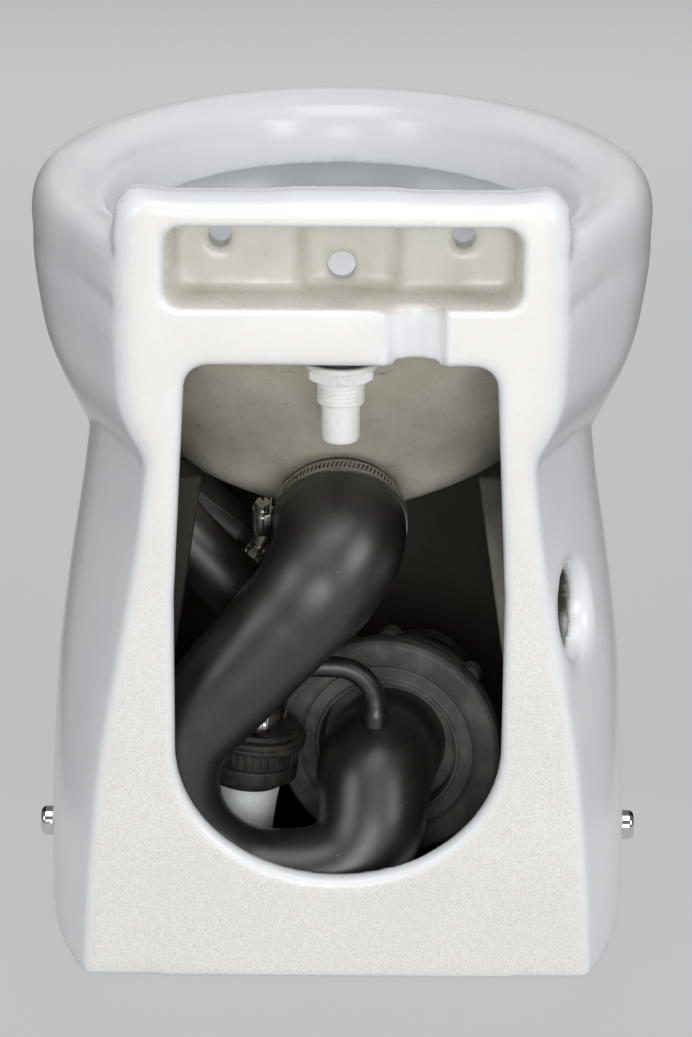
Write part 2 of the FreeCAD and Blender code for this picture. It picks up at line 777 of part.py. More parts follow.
# Pump frame: its own Z runs forward along the axis, its own Y is up, its own X is towards the left.
yaw = math.radians(size("pump_yaw"))
pump_forward = Vector(-math.sin(yaw), -math.cos(yaw), 0)
pump_spin = Rotation(UP.cross(pump_forward), UP, pump_forward, "ZYX")
pump_face = point(size("pump_right"), size("pump_depth"), size("pump_height"))
pump = Placement(pump_face, pump_spin)

# Trap boot: sleeve on the horn, elbow, leg, return bend and the end in the pump cover.
boot_reach = (size("horn_depth") - size("boot_plane")) / math.cos(drop)
elbow = horn_end + horn_out * boot_reach
leg_tilt = math.radians(38.8)
bottom_run = 44.0
leg_side = (elbow.z - bottom_run) * math.tan(leg_tilt)
boot_corners = [
    horn_end,
    elbow,
    point(-leg_side, size("boot_plane"), bottom_run),
    point(22.0, size("boot_plane"), bottom_run),
    pump_face - pump_forward * 41.0,
    pump_face + pump_forward * 12.0,
]
boot_radii = [38.0, 55.0, 40.0, 33.0]
boot_rod = rod("boot_rod", boot_corners, boot_radii, "boot_r")
sleeve_place = along(horn_end - horn_out * 17.0, horn_out)
sleeve = cylinder("boot_sleeve", "boot_sleeve_r", "boot_sleeve_length", sleeve_place)
boot_end = cylinder("boot_end", "boot_end_r", "boot_end_length", moved(pump, along=-21.5))
boot_outside = fuse("boot_outside", [boot_rod, sleeve, boot_end])
boot_bore = rod("boot_bore", boot_corners, boot_radii, "boot_bore_r")
sleeve_bore = cylinder("boot_sleeve_bore", "boot_sleeve_bore_r", "boot_sleeve_length - 6.5",
                       along(horn_end - horn_out * 18.0, horn_out))
end_bore = cylinder("boot_end_bore", "boot_end_bore_r", "boot_end_length", moved(pump, along=3.5))
cut("trap_boot", boot_outside, fuse("boot_hollow", [boot_bore, sleeve_bore, end_bore]))

# Air-bleed tube from the top of the boot to the back of its leg.
vent_corners = [
    point(22, 77, 104),
    point(22, 77, 162),
    point(-40.6, 77, 162),
    point(-40.6, 77, 190),
    point(-40.6, 60, 190),
]
vent_radii = [24.0, 13.0, 9.0]
vent_rod = rod("vent_rod", vent_corners, vent_radii, "vent_r")
vent_bore = rod("vent_bore", vent_corners, vent_radii, "vent_bore_r")
cut("vent_hose", cut("vent_tube", vent_rod, vent_bore), boot_outside)

# Check valve on its leaning axis.
tilt = math.radians(size("valve_lean"))
valve_up = Vector(-math.sin(tilt), 0, math.cos(tilt))
valve_base = point(size("valve_right"), size("valve_depth"), size("valve_bottom"))
valve = Placement(valve_base, Rotation(Vector(0, 1, 0).cross(valve_up), Vector(0, 1, 0), valve_up, "ZYX"))
turned("valve_tail", [
    ("tail_bore_r", 0),
    ("tail_r", 0),
    ("tail_r", "tail_spigot_length"),
    ("tail_body_r", "tail_spigot_length"),
    ("tail_body_r", "tail_length"),
    ("tail_flange_r", "tail_length"),
    ("tail_flange_r", "tail_end"),
    ("tail_bore_r", "tail_end"),
], valve)
turned("valve_collar", [
    ("collar_r - 5.9", "tail_end"),
    ("collar_r", "tail_end"),
    ("collar_r", "collar_end"),
    ("collar_r - 5.9", "collar_end"),
], valve)
valve_shell = turned("valve_shell", [
    ("tail_bore_r", "tail_end"),
    ("collar_r - 6", "tail_end"),
    ("collar_r - 6", "collar_end"),
    ("valve_ring_r", "collar_end"),
    ("valve_ring_r", "valve_ring_end"),
    ("valve_neck_r", "valve_ring_end"),
    ("valve_neck_r", "valve_neck_end"),
    ("valve_spigot_r", "valve_neck_end"),
    ("valve_spigot_r", "valve_top"),
    ("valve_spigot_bore_r", "valve_top"),
    ("valve_spigot_bore_r", "valve_ring_end - 2"),
    ("tail_bore_r", "valve_ring_end - 2"),
], valve)
pin_side = 12.6
pin_height = size("valve_ring_end") - 5.0
sideways = Placement(Vector(), Rotation(Vector(1, 0, 0), -90))


def flap_rod(name, radius, length):
    place = moved(valve, right=pin_side, up=-length / 2, along=pin_height).multiply(sideways)
    item = doc.addObject("Part::Cylinder", name)
    item.Radius = radius
    item.Height = length
    item.Placement = place
    return item


flap_pin = flap_rod("flap_pin", 1.2, 26.0)
cut("valve_body", valve_shell, flap_pin)
disc = doc.addObject("Part::Cylinder", "flap_disc")
disc.Radius = 12.4
disc.Height = 2.0
disc.Placement = moved(valve, along=pin_height + 0.5)
flap_solid = fuse("flap_solid", [disc, flap_rod("flap_lug", 2.2, 8.0)])
cut("valve_flap", flap_solid, flap_rod("flap_bore", 1.25, 12.0))
label_place = moved(valve, along=43.0).multiply(Placement(Vector(), Rotation(UP, 20)))
label_outer = cylinder("label_outer", "tail_body_r + label_thick", "label_thick * 90", label_place)
label_outer.Angle = 140
label_inner = cylinder("label_inner", "tail_body_r", "label_thick * 100", moved(label_place, along=-1.5))
cut("valve_label", label_outer, label_inner)

# Discharge hose: up from the valve, slanting left, a return bend, and down to a neck on the pump outlet.
valve_mouth = valve_base + valve_up * 108.5
outlet_tilt = math.radians(size("outlet_tilt"))
outlet_down = Vector(-math.cos(outlet_tilt), 0, -math.sin(outlet_tilt))
hose_rim = point(-59.2, size("outlet_depth"), 216.2)
hose_corners = [
    valve_mouth,
    valve_mouth + valve_up * 62.5,
    point(-108.0, size("valve_depth"), 252.3),
    hose_rim - outlet_down * 62.0,
    hose_rim,
]
hose_radii = [45.0, 22.0, 22.0]
hose_rod = rod("hose_rod", hose_corners, hose_radii, "hose_r")
hose_bore = rod("hose_bore", hose_corners, hose_radii, "hose_bore_r")
neck_place = along(hose_rim - outlet_down * 4.0, outlet_down)
neck = cylinder("hose_neck", "hose_neck_r", "hose_neck_length + 4", neck_place)
neck_bore = cylinder("hose_neck_bore", "hose_bore_r", "hose_neck_length + 12", neck_place)
cut("discharge_hose", fuse("hose_outside", [hose_rod, neck]), fuse("hose_hollow", [hose_bore, neck_bore]))
print("hose bend least inner gap", 2 * (min(hose_radii) - size("hose_r")))

# Pump wet end.
cover_blank = turned("cover_blank", [
    ("inlet_bore_r", 4),
    ("inlet_r", 4),
    ("inlet_r", "inlet_floor"),
    ("recess_r", "inlet_floor"),
    ("recess_r + 2", 1.6),
    (52.2, 1.1),
    (52.6, 2.6),
    (53.6, 2.6),
    (54.0, 0.9),
    ("cover_r - 2.5", 0),
    ("cover_r", 2.5),
    ("cover_r", 12),
    ("cover_back_r", 13.5),
    ("cover_back_r", "cover_back"),
    ("inlet_bore_r", "cover_back"),
], pump)
turned("cover_seal", [
    ("chamber_r + 0.5", "cover_back"),
    ("volute_r", "cover_back"),
    ("volute_r", "volute_start"),
    ("chamber_r + 0.5", "volute_start"),
], pump)
volute_block = turned("volute_block", [
    (0, "volute_start"),
    ("volute_r", "volute_start"),
    ("volute_r", "flange_start"),
    ("flange_r", "flange_start"),
    ("flange_r", "flange_end"),
    ("body_r", "flange_end"),
    ("body_r", "volute_back"),
    (0, "volute_back"),
], pump)
chamber = turned("chamber", [
    (0, "volute_start - 1"),
    ("chamber_r", "volute_start - 1"),
    ("chamber_r", 50),
    ("seal_r", 50),
    ("seal_r", "volute_back + 1"),
    (0, "volute_back + 1"),
], pump)
bosses = []
flange_screw_parts = []
boss_count = int(size("boss_count"))
for n in range(boss_count):
    swing = math.radians(size("boss_lead") + 360.0 * n / boss_count)
    reach = size("boss_circle_r")
    seat = moved(pump, math.sin(swing) * reach, math.cos(swing) * reach, size("flange_start"))
    bosses.append(turned("boss_%d" % n, [
        (0, -5.3),
        ("boss_r - 0.8", -5.3),
        ("boss_r", -4.3),
        ("boss_r", "flange_end - flange_start + 1"),
        (0, "flange_end - flange_start + 1"),
    ], seat))
    shank = doc.addObject("Part::Cylinder", "flange_shank_%d" % n)
    shank.Radius = 2.2
    shank.Height = 27.0
    shank.Placement = moved(seat, along=-19.0)
    button = doc.addObject("Part::Cylinder", "flange_button_%d" % n)
    button.Radius = 4.5
    button.Height = 3.2
    button.Placement = moved(seat, along=8.0)
    flange_screw_parts.append(fuse("flange_screw_%d" % n, [shank, button]))
outlet_bend = hose_rim + outlet_down * 43.5
outlet_corners = [point(20.0, 162.0, 105.0), outlet_bend, hose_rim - outlet_down * 6.0]
outlet_rod = rod("outlet_rod", outlet_corners, [60.0], "outlet_r")
outlet = cut("outlet_pipe", outlet_rod, cylinder("outlet_clear", "cover_r + 1", "volute_start", pump))
outlet_ends = outlet_corners[:2] + [hose_rim - outlet_down * 12.0]
outlet_bore = rod("outlet_bore", outlet_ends, [60.0], "outlet_bore_r")
flange_screws = group("flange_screws", flange_screw_parts)
cut("pump_cover", cover_blank, flange_screws)
volute_solid = fuse("volute_solid", [volute_block, outlet] + bosses)
volute_bored = cut("volute_bored", volute_solid, fuse("volute_hollow", [chamber, outlet_bore]))
cut("volute_housing", volute_bored, flange_screws)
plate_blank = turned("plate_blank", [
    ("shaft_r + 2", "plate_start"),
    ("plate_r", "plate_start"),
    ("plate_r", "plate_start + plate_thick"),
    ("shaft_r + 2", "plate_start + plate_thick"),
], pump)
windows = []
for n in range(6):
    swing = math.radians(60.0 * n)
    window = doc.addObject("Part::Cylinder", "plate_window_%d" % n)
    window.Radius = 9.0
    window.Height = 10.0
    window.Placement = moved(pump, math.sin(swing) * 27.0, math.cos(swing) * 27.0, size("plate_start") - 4.0)
    windows.append(window)
cut("cutter_plate", plate_blank, fuse("plate_windows", windows))
blade_bar = doc.addObject("Part::Box", "blade_bar")
blade_bar.Length = 76
blade_bar.Width = 12
bind(blade_bar, Height="blade_thick")
blade_bar.Placement = moved(pump, -38.0, -6.0, size("blade_start"))
shaft_tool = cylinder("shaft_tool", "shaft_r", "shaft_end", moved(pump, along=0.0))
cut("macerator_blade", blade_bar, shaft_tool)
wheel = turned("wheel", [
    ("shaft_r", 30),
    (10, 30),
    (10, 44),
    ("impeller_r", 44),
    ("impeller_r", 46.5),
    ("shaft_r", 46.5),
], pump)
vanes = []
for n in range(5):
    vane = doc.addObject("Part::Box", "vane_%d" % n)
    vane.Length = 31
    vane.Width = 3
    vane.Height = 10.5
    spin = Placement(Vector(), Rotation(UP, 72.0 * n))
    vane.Placement = pump.multiply(spin).multiply(Placement(Vector(9.0, -1.5, 34.0), Rotation(UP, 8)))
    vanes.append(vane)
fuse("impeller", [wheel] + vanes)

# Motor.
turned("motor_shaft", [
    (0, "shaft_start"),
    ("shaft_r", "shaft_start"),
    ("shaft_r", "shaft_end"),
    (0, "shaft_end"),
], pump)
turned("shaft_seal", [
    ("seal_bore_r", 50.2),
    ("seal_r", 50.2),
    ("seal_r", 55.8),
    ("seal_bore_r", 55.8),
], pump)
turned("motor_bell", [
    ("shaft_r + 1", "bell_start"),
    ("bell_r", "bell_start"),
    ("bell_r", "bell_end - 2"),
    ("can_r", "bell_end - 2"),
    ("can_r", "bell_end"),
    ("can_bore_r", "bell_end"),
    ("can_bore_r", "bell_end + 4"),
    ("bearing_r", "bell_end + 4"),
    ("bearing_r", "bell_start + 2"),
    ("shaft_r + 1", "bell_start + 2"),
], pump)
for label, start in (("front_bearing", 58.0), ("rear_bearing", size("can_end") + 1)):
    blank = cylinder(label + "_blank", "bearing_r", "bearing_width", moved(pump, along=start))
    hole_place = moved(pump, along=start - 2)
    cut(label, blank, cylinder(label + "_hole", "bearing_bore_r", "bearing_width + 4", hole_place))
turned("motor_can", [
    ("can_bore_r", "bell_end"),
    ("can_r", "bell_end"),
    ("can_r", "can_end"),
    ("can_bore_r", "can_end"),
], pump)
turned("armature", [
    ("shaft_r", "armature_start"),
    ("armature_r", "armature_start"),
    ("armature_r", "armature_end"),
    ("commutator_r", "armature_end + 2"),
    ("commutator_r", "commutator_end"),
    ("shaft_r", "commutator_end"),
], pump)
magnet_core = cylinder("magnet_core", "magnet_bore_r", "armature_end - armature_start + 40",
                       moved(pump, along=size("armature_start") - 10))
magnets = []
for n, start in enumerate((-60.0, 120.0)):
    arc_turn = Placement(Vector(), Rotation(UP, start))
    arc_place = moved(pump, along=size("armature_start") - 2).multiply(arc_turn)
    sector = cylinder("magnet_sector_%d" % n, "magnet_r", "armature_end - armature_start + 4", arc_place)
    sector.Angle = 120
    magnets.append(cut("magnet_%d" % n, sector, magnet_core))
group("motor_magnets", magnets)
turned("motor_end_cap", [
    ("bearing_r", "can_end - 4"),
    ("can_bore_r", "can_end - 4"),
    ("can_bore_r", "can_end"),
    ("can_r + 0.5", "can_end"),
    ("can_r + 0.5", "cap_end - 4"),
    ("can_r - 5", "cap_end"),
    (0, "cap_end"),
    (0, "shaft_end + 1"),
    ("shaft_r + 1", "shaft_end + 1"),
    ("shaft_r + 1", "can_end + 8.1"),
    ("bearing_r", "can_end + 8.1"),
], pump)
turned("cable_gland", [
    (4, "cap_end"),
    (11, "cap_end"),
    (11, "cap_end + 6"),
    (8.5, "cap_end + 7"),
    (8.5, "cap_end + 16"),
    (6.5, "cap_end + 18"),
    (4, "cap_end + 18"),
], moved(pump, up=14.0))

# Pump foot on four rubber pads.
floor_level = -size("pump_height")
foot_plate = doc.addObject("Part::Box", "foot_plate")
foot_plate.Length = 90
foot_plate.Height = 60
bind(foot_plate, Width="foot_plate_thick")
foot_plate.Placement = moved(pump, -45.0, floor_level + size("foot_plate_z"), 62.0)
cradle_parts = [foot_plate]
for n, start in enumerate((80.0, 100.0)):
    cradle = doc.addObject("Part::Box", "cradle_%d" % n)
    cradle.Length = 60
    cradle.Width = 62
    cradle.Height = 4
    cradle.Placement = moved(pump, -30.0, floor_level + 8.0, start)
    cradle_parts.append(cradle)
can_tool = cylinder("can_tool", "can_r", "can_end", moved(pump, along=40.0))
upright = Placement(Vector(), Rotation(Vector(1, 0, 0), -90))
pads = []
foot_screws = []
for n, (side, start) in enumerate(((-36.0, 71.0), (36.0, 71.0), (-36.0, 113.0), (36.0, 113.0))):
    base = moved(pump, side, floor_level, start).multiply(upright)
    stem = doc.addObject("Part::Cylinder", "foot_stem_%d" % n)
    stem.Radius = 2.5
    stem.Height = 9.0
    stem.Placement = moved(base, along=2.0)
    knob = doc.addObject("Part::Cylinder", "foot_knob_%d" % n)
    knob.Radius = 4.5
    knob.Height = 3.0
    knob.Placement = moved(base, along=10.0)
    foot_screws.append(fuse("foot_screw_%d" % n, [stem, knob]))
    pad = cylinder("pad_blank_%d" % n, "foot_pad_r", "foot_plate_z", base)
    pads.append(cut("pad_%d" % n, pad, stem))
group("rubber_feet", pads)
foot_group = group("foot_screws", foot_screws)
cut("pump_foot", cut("foot_cradle", fuse("foot_solid", cradle_parts), can_tool), foot_group)

# Worm-drive clips: a band, a housing on one side and a screw along the band.


def clip(name, centre, band_axis, housing_side, radius):
    screw_way = band_axis.cross(housing_side)
    frame = Placement(centre, Rotation(housing_side, screw_way, band_axis, "ZXY"))
    low_place = moved(frame, along=-size("band_width") / 2)
    outer = cylinder(name + "_outer", radius + " + band_thick", "band_width", low_place)
    inner = cylinder(name + "_inner", radius, "band_width + 4", moved(low_place, along=-2.0))
    cut(name + "_band", outer, inner)
    edge = size(radius) + size("band_thick") + 0.05
    block = doc.addObject("Part::Box", name + "_block")
    block.Length = 10.4
    block.Width = 15.0
    block.Height = 12.4
    block.Placement = moved(frame, edge, -7.5, -6.2)
    axis = Placement(Vector(), Rotation(Vector(1, 0, 0), -90))
    lane = moved(frame, edge + 5.2, -9.0).multiply(axis)
    cut(name + "_housing", block, cylinder(name + "_lane", "clip_bore_r", "band_width + 8", lane))
    thread_place = moved(frame, edge + 5.2, -7.9).multiply(axis)
    thread = cylinder(name + "_thread", "clip_screw_r", "band_width + 7.8", thread_place)
    head_prism = doc.addObject("Part::Prism", name + "_head")
    head_prism.Polygon = 6
    head_prism.Height = 5.2
    bind(head_prism, Circumradius="clip_head_r")
    head_prism.Placement = moved(frame, edge + 5.2, 7.9).multiply(axis)
    fuse(name + "_screw", [thread, head_prism])
    print(name, "screw axis", [round(v, 4) for v in frame.Rotation.multVec(Vector(0, 1, 0))],
          "through", [round(v, 3) for v in moved(frame, edge + 5.2).Base])


CLIP_TURN = math.radians(32.0)
clip("horn_clamp", horn_end + horn_out * -8.0, horn_out * -1, Vector(1, 0, 0), "boot_sleeve_r")
clip("valve_clamp", valve_mouth + valve_up * 7.0, valve_up * -1, BACK, "hose_r")
outlet_side = BACK * math.cos(CLIP_TURN) - outlet_down.cross(BACK) * math.sin(CLIP_TURN)
clip("outlet_clamp", hose_rim + outlet_down * 8.0, outlet_down, outlet_side, "hose_neck_r")

# Floor brackets, side screws and chrome caps.
bracket_face = 155.5
bracket_screws = []
for sign, side in ((1, "right"), (-1, "left")):
    outward = Vector(-sign, 0, 0)
    seat = point(sign * bracket_face, size("cap_depth"), 0)
    frame = Placement(seat, Rotation(outward, UP.cross(outward), UP, "ZXY"))
    wall_plate = box("bracket_wall_" + side, "bracket_thick", "bracket_width", "bracket_height",
                     moved(frame, -size("bracket_thick"), -size("bracket_width") / 2))
    foot = box("bracket_foot_" + side, "bracket_foot", "bracket_width", "bracket_thick",
               moved(frame, -size("bracket_foot"), -size("bracket_width") / 2))
    bracket_holes = []
    for n, step in enumerate((-10.0, 10.0)):
        bracket_holes.append(cylinder("bracket_hole_%s_%d" % (side, n), "bracket_hole_r", "bracket_thick + 8",
                                      moved(frame, -29.0, step, -4.0)))
    axis = along(point(sign * 152.0, size("cap_depth"), size("cap_height")), outward)
    shank = doc.addObject("Part::Cylinder", "side_shank_" + side)
    bind(shank, Radius="screw_r")
    shank.Height = 16.0
    shank.Placement = axis
    pan = doc.addObject("Part::Cylinder", "side_pan_" + side)
    bind(pan, Radius="screw_head_r")
    pan.Height = 3.0
    pan.Placement = moved(axis, along=14.5)
    bracket_screws.append(fuse("side_screw_" + side, [shank, pan]))
    bracket_holes.append(shank)
    bracket_solid = fuse("bracket_solid_" + side, [wall_plate, foot])
    cut("floor_bracket_" + side, bracket_solid, fuse("bracket_cuts_" + side, bracket_holes))
    turned("screw_cap_" + side, [
        (0, 18.2),
        ("capping_peg_r - 0.3", 18.2),
        ("capping_peg_r - 0.3", 21),
        ("capping_r", 21),
        ("capping_r", 26.4),
        ("capping_r - 1", 28.2),
        ("capping_r - 3", 29),
        (0, 29),
    ], axis)
group("bracket_screws", bracket_screws)

NODES = """
china_bowl inlet_spigot inlet_nut inlet_gasket trap_boot vent_hose discharge_hose
horn_clamp_band horn_clamp_housing horn_clamp_screw
outlet_clamp_band outlet_clamp_housing outlet_clamp_screw
valve_clamp_band valve_clamp_housing valve_clamp_screw
valve_body valve_collar valve_tail valve_label valve_flap flap_pin
pump_cover cover_seal volute_housing cutter_plate macerator_blade impeller
motor_shaft shaft_seal front_bearing rear_bearing armature motor_bell motor_can motor_magnets
motor_end_cap cable_gland flange_screws pump_foot rubber_feet foot_screws
floor_bracket_left floor_bracket_right bracket_screws screw_cap_left screw_cap_right
""".split()

doc.recompute()
for item in doc.Objects:
    if "Invalid" in item.State or "Error" in item.State:
        raise RuntimeError("object in error: " + item.Name)
os.makedirs("parts", exist_ok=True)
for label in NODES:
    node = doc.getObject(label)
    node.Label = label
    shape = node.Shape
    if shape.isNull() or not shape.isValid() or not shape.Solids:
        raise RuntimeError("bad shape: " + label)
    shape.exportStep("parts/%s.step" % label)
    print(label, len(shape.Solids), "solids", round(shape.Volume / 1000.0, 2), "cm3")
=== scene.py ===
import math
from functools import partial

import bmesh
import bpy
import numpy as np
from mathutils import Matrix, Quaternion, Vector
from mathutils.bvhtree import BVHTree


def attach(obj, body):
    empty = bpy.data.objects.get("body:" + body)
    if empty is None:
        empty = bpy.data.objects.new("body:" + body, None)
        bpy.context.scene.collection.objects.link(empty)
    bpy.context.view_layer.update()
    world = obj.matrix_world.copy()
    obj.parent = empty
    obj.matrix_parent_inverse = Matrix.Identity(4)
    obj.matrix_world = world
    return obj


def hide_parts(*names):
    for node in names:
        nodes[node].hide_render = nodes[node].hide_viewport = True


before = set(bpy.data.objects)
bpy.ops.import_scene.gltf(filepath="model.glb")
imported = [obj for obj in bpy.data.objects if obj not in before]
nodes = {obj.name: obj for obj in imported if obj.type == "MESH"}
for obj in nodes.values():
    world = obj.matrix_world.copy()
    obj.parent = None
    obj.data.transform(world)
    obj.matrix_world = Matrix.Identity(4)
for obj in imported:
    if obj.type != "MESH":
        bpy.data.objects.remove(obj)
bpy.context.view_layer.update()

# Electric marine toilet seen from behind. Sizes are in mm and turned to metres by MM.
scene = bpy.context.scene
scene.view_settings.view_transform = "Standard"
MM = 0.001
BACK_PLANE = 232.5


def spot(right, depth, height):
    """A place given as right of the middle, forward of the back plane and above the floor."""
    return Vector((-right, BACK_PLANE - depth, height)) * MM


def placed(name, data):
    """A new object in the scene."""
    made = bpy.data.objects.new(name, data)
    scene.collection.objects.link(made)
    return made


# Camera at the photograph's place and angle, for a 692 by 1037 frame.
CAMERA_DEPTH = -1711.9
CAMERA_HEIGHT = 868.3
CAMERA_DROP = math.radians(18.0)
CAMERA_ROLL = math.radians(0.44)
SENSOR_WIDTH = 36.0
LENS_LENGTH = 114.1
LENS_SHIFT = (0.0055, -0.0535)


def make_camera():
    data = bpy.data.cameras.new("photo_camera")
    data.sensor_width = SENSOR_WIDTH
    data.lens = LENS_LENGTH
    data.shift_x, data.shift_y = LENS_SHIFT
    camera = placed("photo_camera", data)
    camera.location = spot(0, CAMERA_DEPTH, CAMERA_HEIGHT)
    look = Vector((0, -math.cos(CAMERA_DROP), -math.sin(CAMERA_DROP)))
    turn = look.to_track_quat("-Z", "Y") @ Quaternion((0, 0, 1), CAMERA_ROLL)
    camera.rotation_euler = turn.to_euler()
    scene.camera = camera


make_camera()


# Material helpers.
def paint(code):
    """Linear colour of an sRGB hex value."""
    parts = [int(code[i:i + 2], 16) / 255 for i in (1, 3, 5)]
    return [p / 12.92 if p <= 0.04045 else ((p + 0.055) / 1.055) ** 2.4 for p in parts] + [1.0]


def per_mm(size):
    """Texture scale, in cycles per metre, of a pattern whose features are this many mm apart."""
    return 1.0 / (size * MM)


# Kinds of node that come up often, some with settings, and the order of their unnamed inputs.
NOISE = "ShaderNodeTexNoise"  # place, scale, detail, roughness
RANGE = "ShaderNodeMapRange"  # value, from low, from high, to low, to high
MIX = "ShaderNodeMix"  # share, first number, second number
TINT = ("ShaderNodeMix", {"data_type": "RGBA"})  # share, first colour, second colour
TIMES = ("ShaderNodeMath", {"operation": "MULTIPLY"})  # first, second
BUMP = "ShaderNodeBump"
# The usual roughness of a noise, and the range in which most of its values lie.
PLAIN = 0.55
MIDDLE = (0.3, 0.7)


def add(tree, kind, *values, out=None, **named):
    """Adds a node, sets its properties, sets or links its inputs, and gives one of its outputs.

    Plain values fill the inputs in order. Named ones are properties, or inputs with _ for a space. A hex
    value is turned to a linear colour.
    """
    kind, settings = kind if isinstance(kind, tuple) else (kind, {})
    named = {**settings, **named}
    made = tree.nodes.new(kind)
    for name in list(named):
        if hasattr(made, name):
            setattr(made, name, named.pop(name))
    pairs = list(zip([s for s in made.inputs if s.enabled], values))
    pairs += [(made.inputs[name.replace("_", " ")], value) for name, value in named.items()]
    for socket, value in pairs:
        if isinstance(value, bpy.types.NodeSocket):
            tree.links.new(value, socket)
        else:
            socket.default_value = paint(value) if isinstance(value, str) else value
    if out is not None:
        return made.outputs[out]
    return next((s for s in made.outputs if s.enabled), None)


def start_material(name):
    """A material with an empty tree, the function that adds to it, and the object's own coordinates."""
    material = bpy.data.materials.new(name)
    material.use_nodes = True
    tree = material.node_tree
    tree.nodes.clear()
    node = partial(add, tree)
    return material, node, node("ShaderNodeTexCoord", out="Object")


def end_material(material, colour, shine, **inputs):
    """Closes a material with its surface."""
    tree = material.node_tree
    surface = add(tree, "ShaderNodeBsdfPrincipled", Base_Color=colour, Roughness=shine, **inputs)
    add(tree, "ShaderNodeOutputMaterial", Surface=surface)
    return material


# Attributes on the china that say where each finish lies, and where painted shade darkens the bare body.
FINISH_AND_SHADE_MASKS = ("sprayed", "grainy", "recess", "bare", "deep")


def glazed_china():
    """Vitreous china, slip cast: poured glaze outside, a thin sprayed coat on the back, bare body inside."""
    material, node, place = start_material("vitreous_china_glazed")
    masks = [node("ShaderNodeAttribute", out="Fac", attribute_name=name) for name in FINISH_AND_SHADE_MASKS]
    sprayed, grainy, recess, bare, deep = masks
    # Poured glaze pools a little, so the white is never quite even.
    cloud = node(NOISE, place, per_mm(70.0), 2.0, PLAIN)
    glaze = node(TINT, cloud, "#e6e8ec", "#eff0f2")
    # The sprayed coat dries as a fine pebbled skin low down, slightly warmer than the poured glaze.
    pebble = node(NOISE, place, per_mm(0.95), 1.5, 0.5)
    drift = node(NOISE, place, per_mm(60.0), 3.0, PLAIN)
    drift = node(RANGE, drift, *MIDDLE, 0.0, 1.0)
    skin = node(TINT, drift, "#ecebe8", "#e8e6e2")
    pits = node(RANGE, pebble, 0.56, 0.36, 0.0, 0.4)
    pits = node(TIMES, pits, grainy)
    skin = node(TINT, pits, skin, "#c3bfb5")
    # In the recess the thin glaze shows the cream body, with yellowed runs on the floor.
    runs = node(NOISE, place, per_mm(24.0), 4.0, 0.6)
    yellow = node(RANGE, runs, 0.42, 0.7, 0.0, 0.7)
    cream = node(TINT, yellow, "#dedcd4", "#c9c6ba")
    # The bare body is a warm grey, smudged by hands and trimming tools, with painted shade deep inside the
    # hollow.
    smudge = node(NOISE, place, per_mm(46.0), 5.0, 0.62)
    smudge = node(RANGE, smudge, 0.38, 0.66, 0.0, 1.0)
    body = node(TINT, smudge, "#d0cbbd", "#b9b3a4")
    level = node("ShaderNodeMapping", Vector=place, Scale=(1.0, 1.0, 3.4))
    streak = node(NOISE, level, per_mm(15.0), 6.0, 0.7)
    soiled = node(RANGE, streak, 0.61, 0.72, 0.0, 0.6)
    body = node(TINT, soiled, body, "#5f5c53")
    # Painted shade: the deep mask darkens the bare body deep inside the hollow, low down and on the gussets.
    body = node(TINT, deep, body, "#2b271e")
    colour = node(TINT, sprayed, glaze, skin)
    colour = node(TINT, recess, colour, cream)
    colour = node(TINT, bare, colour, body)
    # Pooled glaze shines most, the sprayed coat less, and the bare body hardly at all.
    shine = node(RANGE, cloud, *MIDDLE, 0.19, 0.25)
    shine = node(MIX, sprayed, shine, 0.3)
    thin = node(RANGE, runs, *MIDDLE, 0.16, 0.4)
    shine = node(MIX, recess, shine, thin)
    shine = node(MIX, bare, shine, 0.7)
    wave = node(NOISE, place, per_mm(46.0), 1.0, PLAIN)
    wave = node(BUMP, Height=wave, Distance=0.3 * MM)
    peel = node(BUMP, Height=pebble, Distance=0.22 * MM, Strength=grainy, Normal=wave)
    grain = node(NOISE, place, per_mm(1.6), 4.0, 0.6)
    lumps = node("ShaderNodeMath", grain, streak, operation="ADD")
    normal = node(BUMP, Height=lumps, Distance=0.4 * MM, Strength=bare, Normal=peel)
    return end_material(material, colour, shine, Normal=normal, IOR=1.52)


def moulded_rubber(name, tone, dusty):
    """EPDM rubber, compression moulded: satin black with rubbed patches, mould grain and settled dust."""
    material, node, place = start_material(name)
    rub = node(NOISE, place, per_mm(34.0), 4.0, 0.6)
    rubbed = node(RANGE, rub, 0.35, 0.7, 0.0, 1.0)
    colour = node(TINT, rubbed, tone, "#232322")
    speck = node("ShaderNodeTexVoronoi", out="Distance", feature="F1", Vector=place, Scale=per_mm(7.5))
    dot = node(RANGE, speck, 0.035, 0.075, dusty, 0.0)
    patch = node(NOISE, place, per_mm(55.0), 2.0, PLAIN)
    patch = node(RANGE, patch, 0.42, 0.62, 0.0, 1.0)
    dust = node(TIMES, dot, patch)
    colour = node(TINT, dust, colour, "#8d8a83")
    shine = node(RANGE, rub, *MIDDLE, 0.34, 0.44)
    grain = node(NOISE, place, per_mm(0.9), 2.0, PLAIN)
    grain = node(BUMP, Height=grain, Distance=0.05 * MM)
    soft = node(NOISE, place, per_mm(26.0), 1.0, PLAIN)
    soft = node(BUMP, Height=soft, Distance=0.4 * MM, Normal=grain)
    return end_material(material, colour, shine, Normal=soft, IOR=1.5, Specular_IOR_Level=1.0)


def moulded_nylon(name, tone, scuff, size):
    """Glass-filled nylon, injection moulded: dull black, greyed by fibres and scuffs where it was handled."""
    material, node, place = start_material(name)
    flow = node(NOISE, place, per_mm(size), 6.0, 0.65)
    scuffed = node(RANGE, flow, 0.4, 0.72, 0.0, 1.0)
    colour = node(TINT, scuffed, tone, scuff)
    shine = node(RANGE, flow, *MIDDLE, 0.44, 0.66)
    fibre = node(NOISE, place, per_mm(0.7), 3.0, PLAIN)
    normal = node(BUMP, Height=fibre, Distance=0.06 * MM)
    return end_material(material, colour, shine, Normal=normal, IOR=1.52)


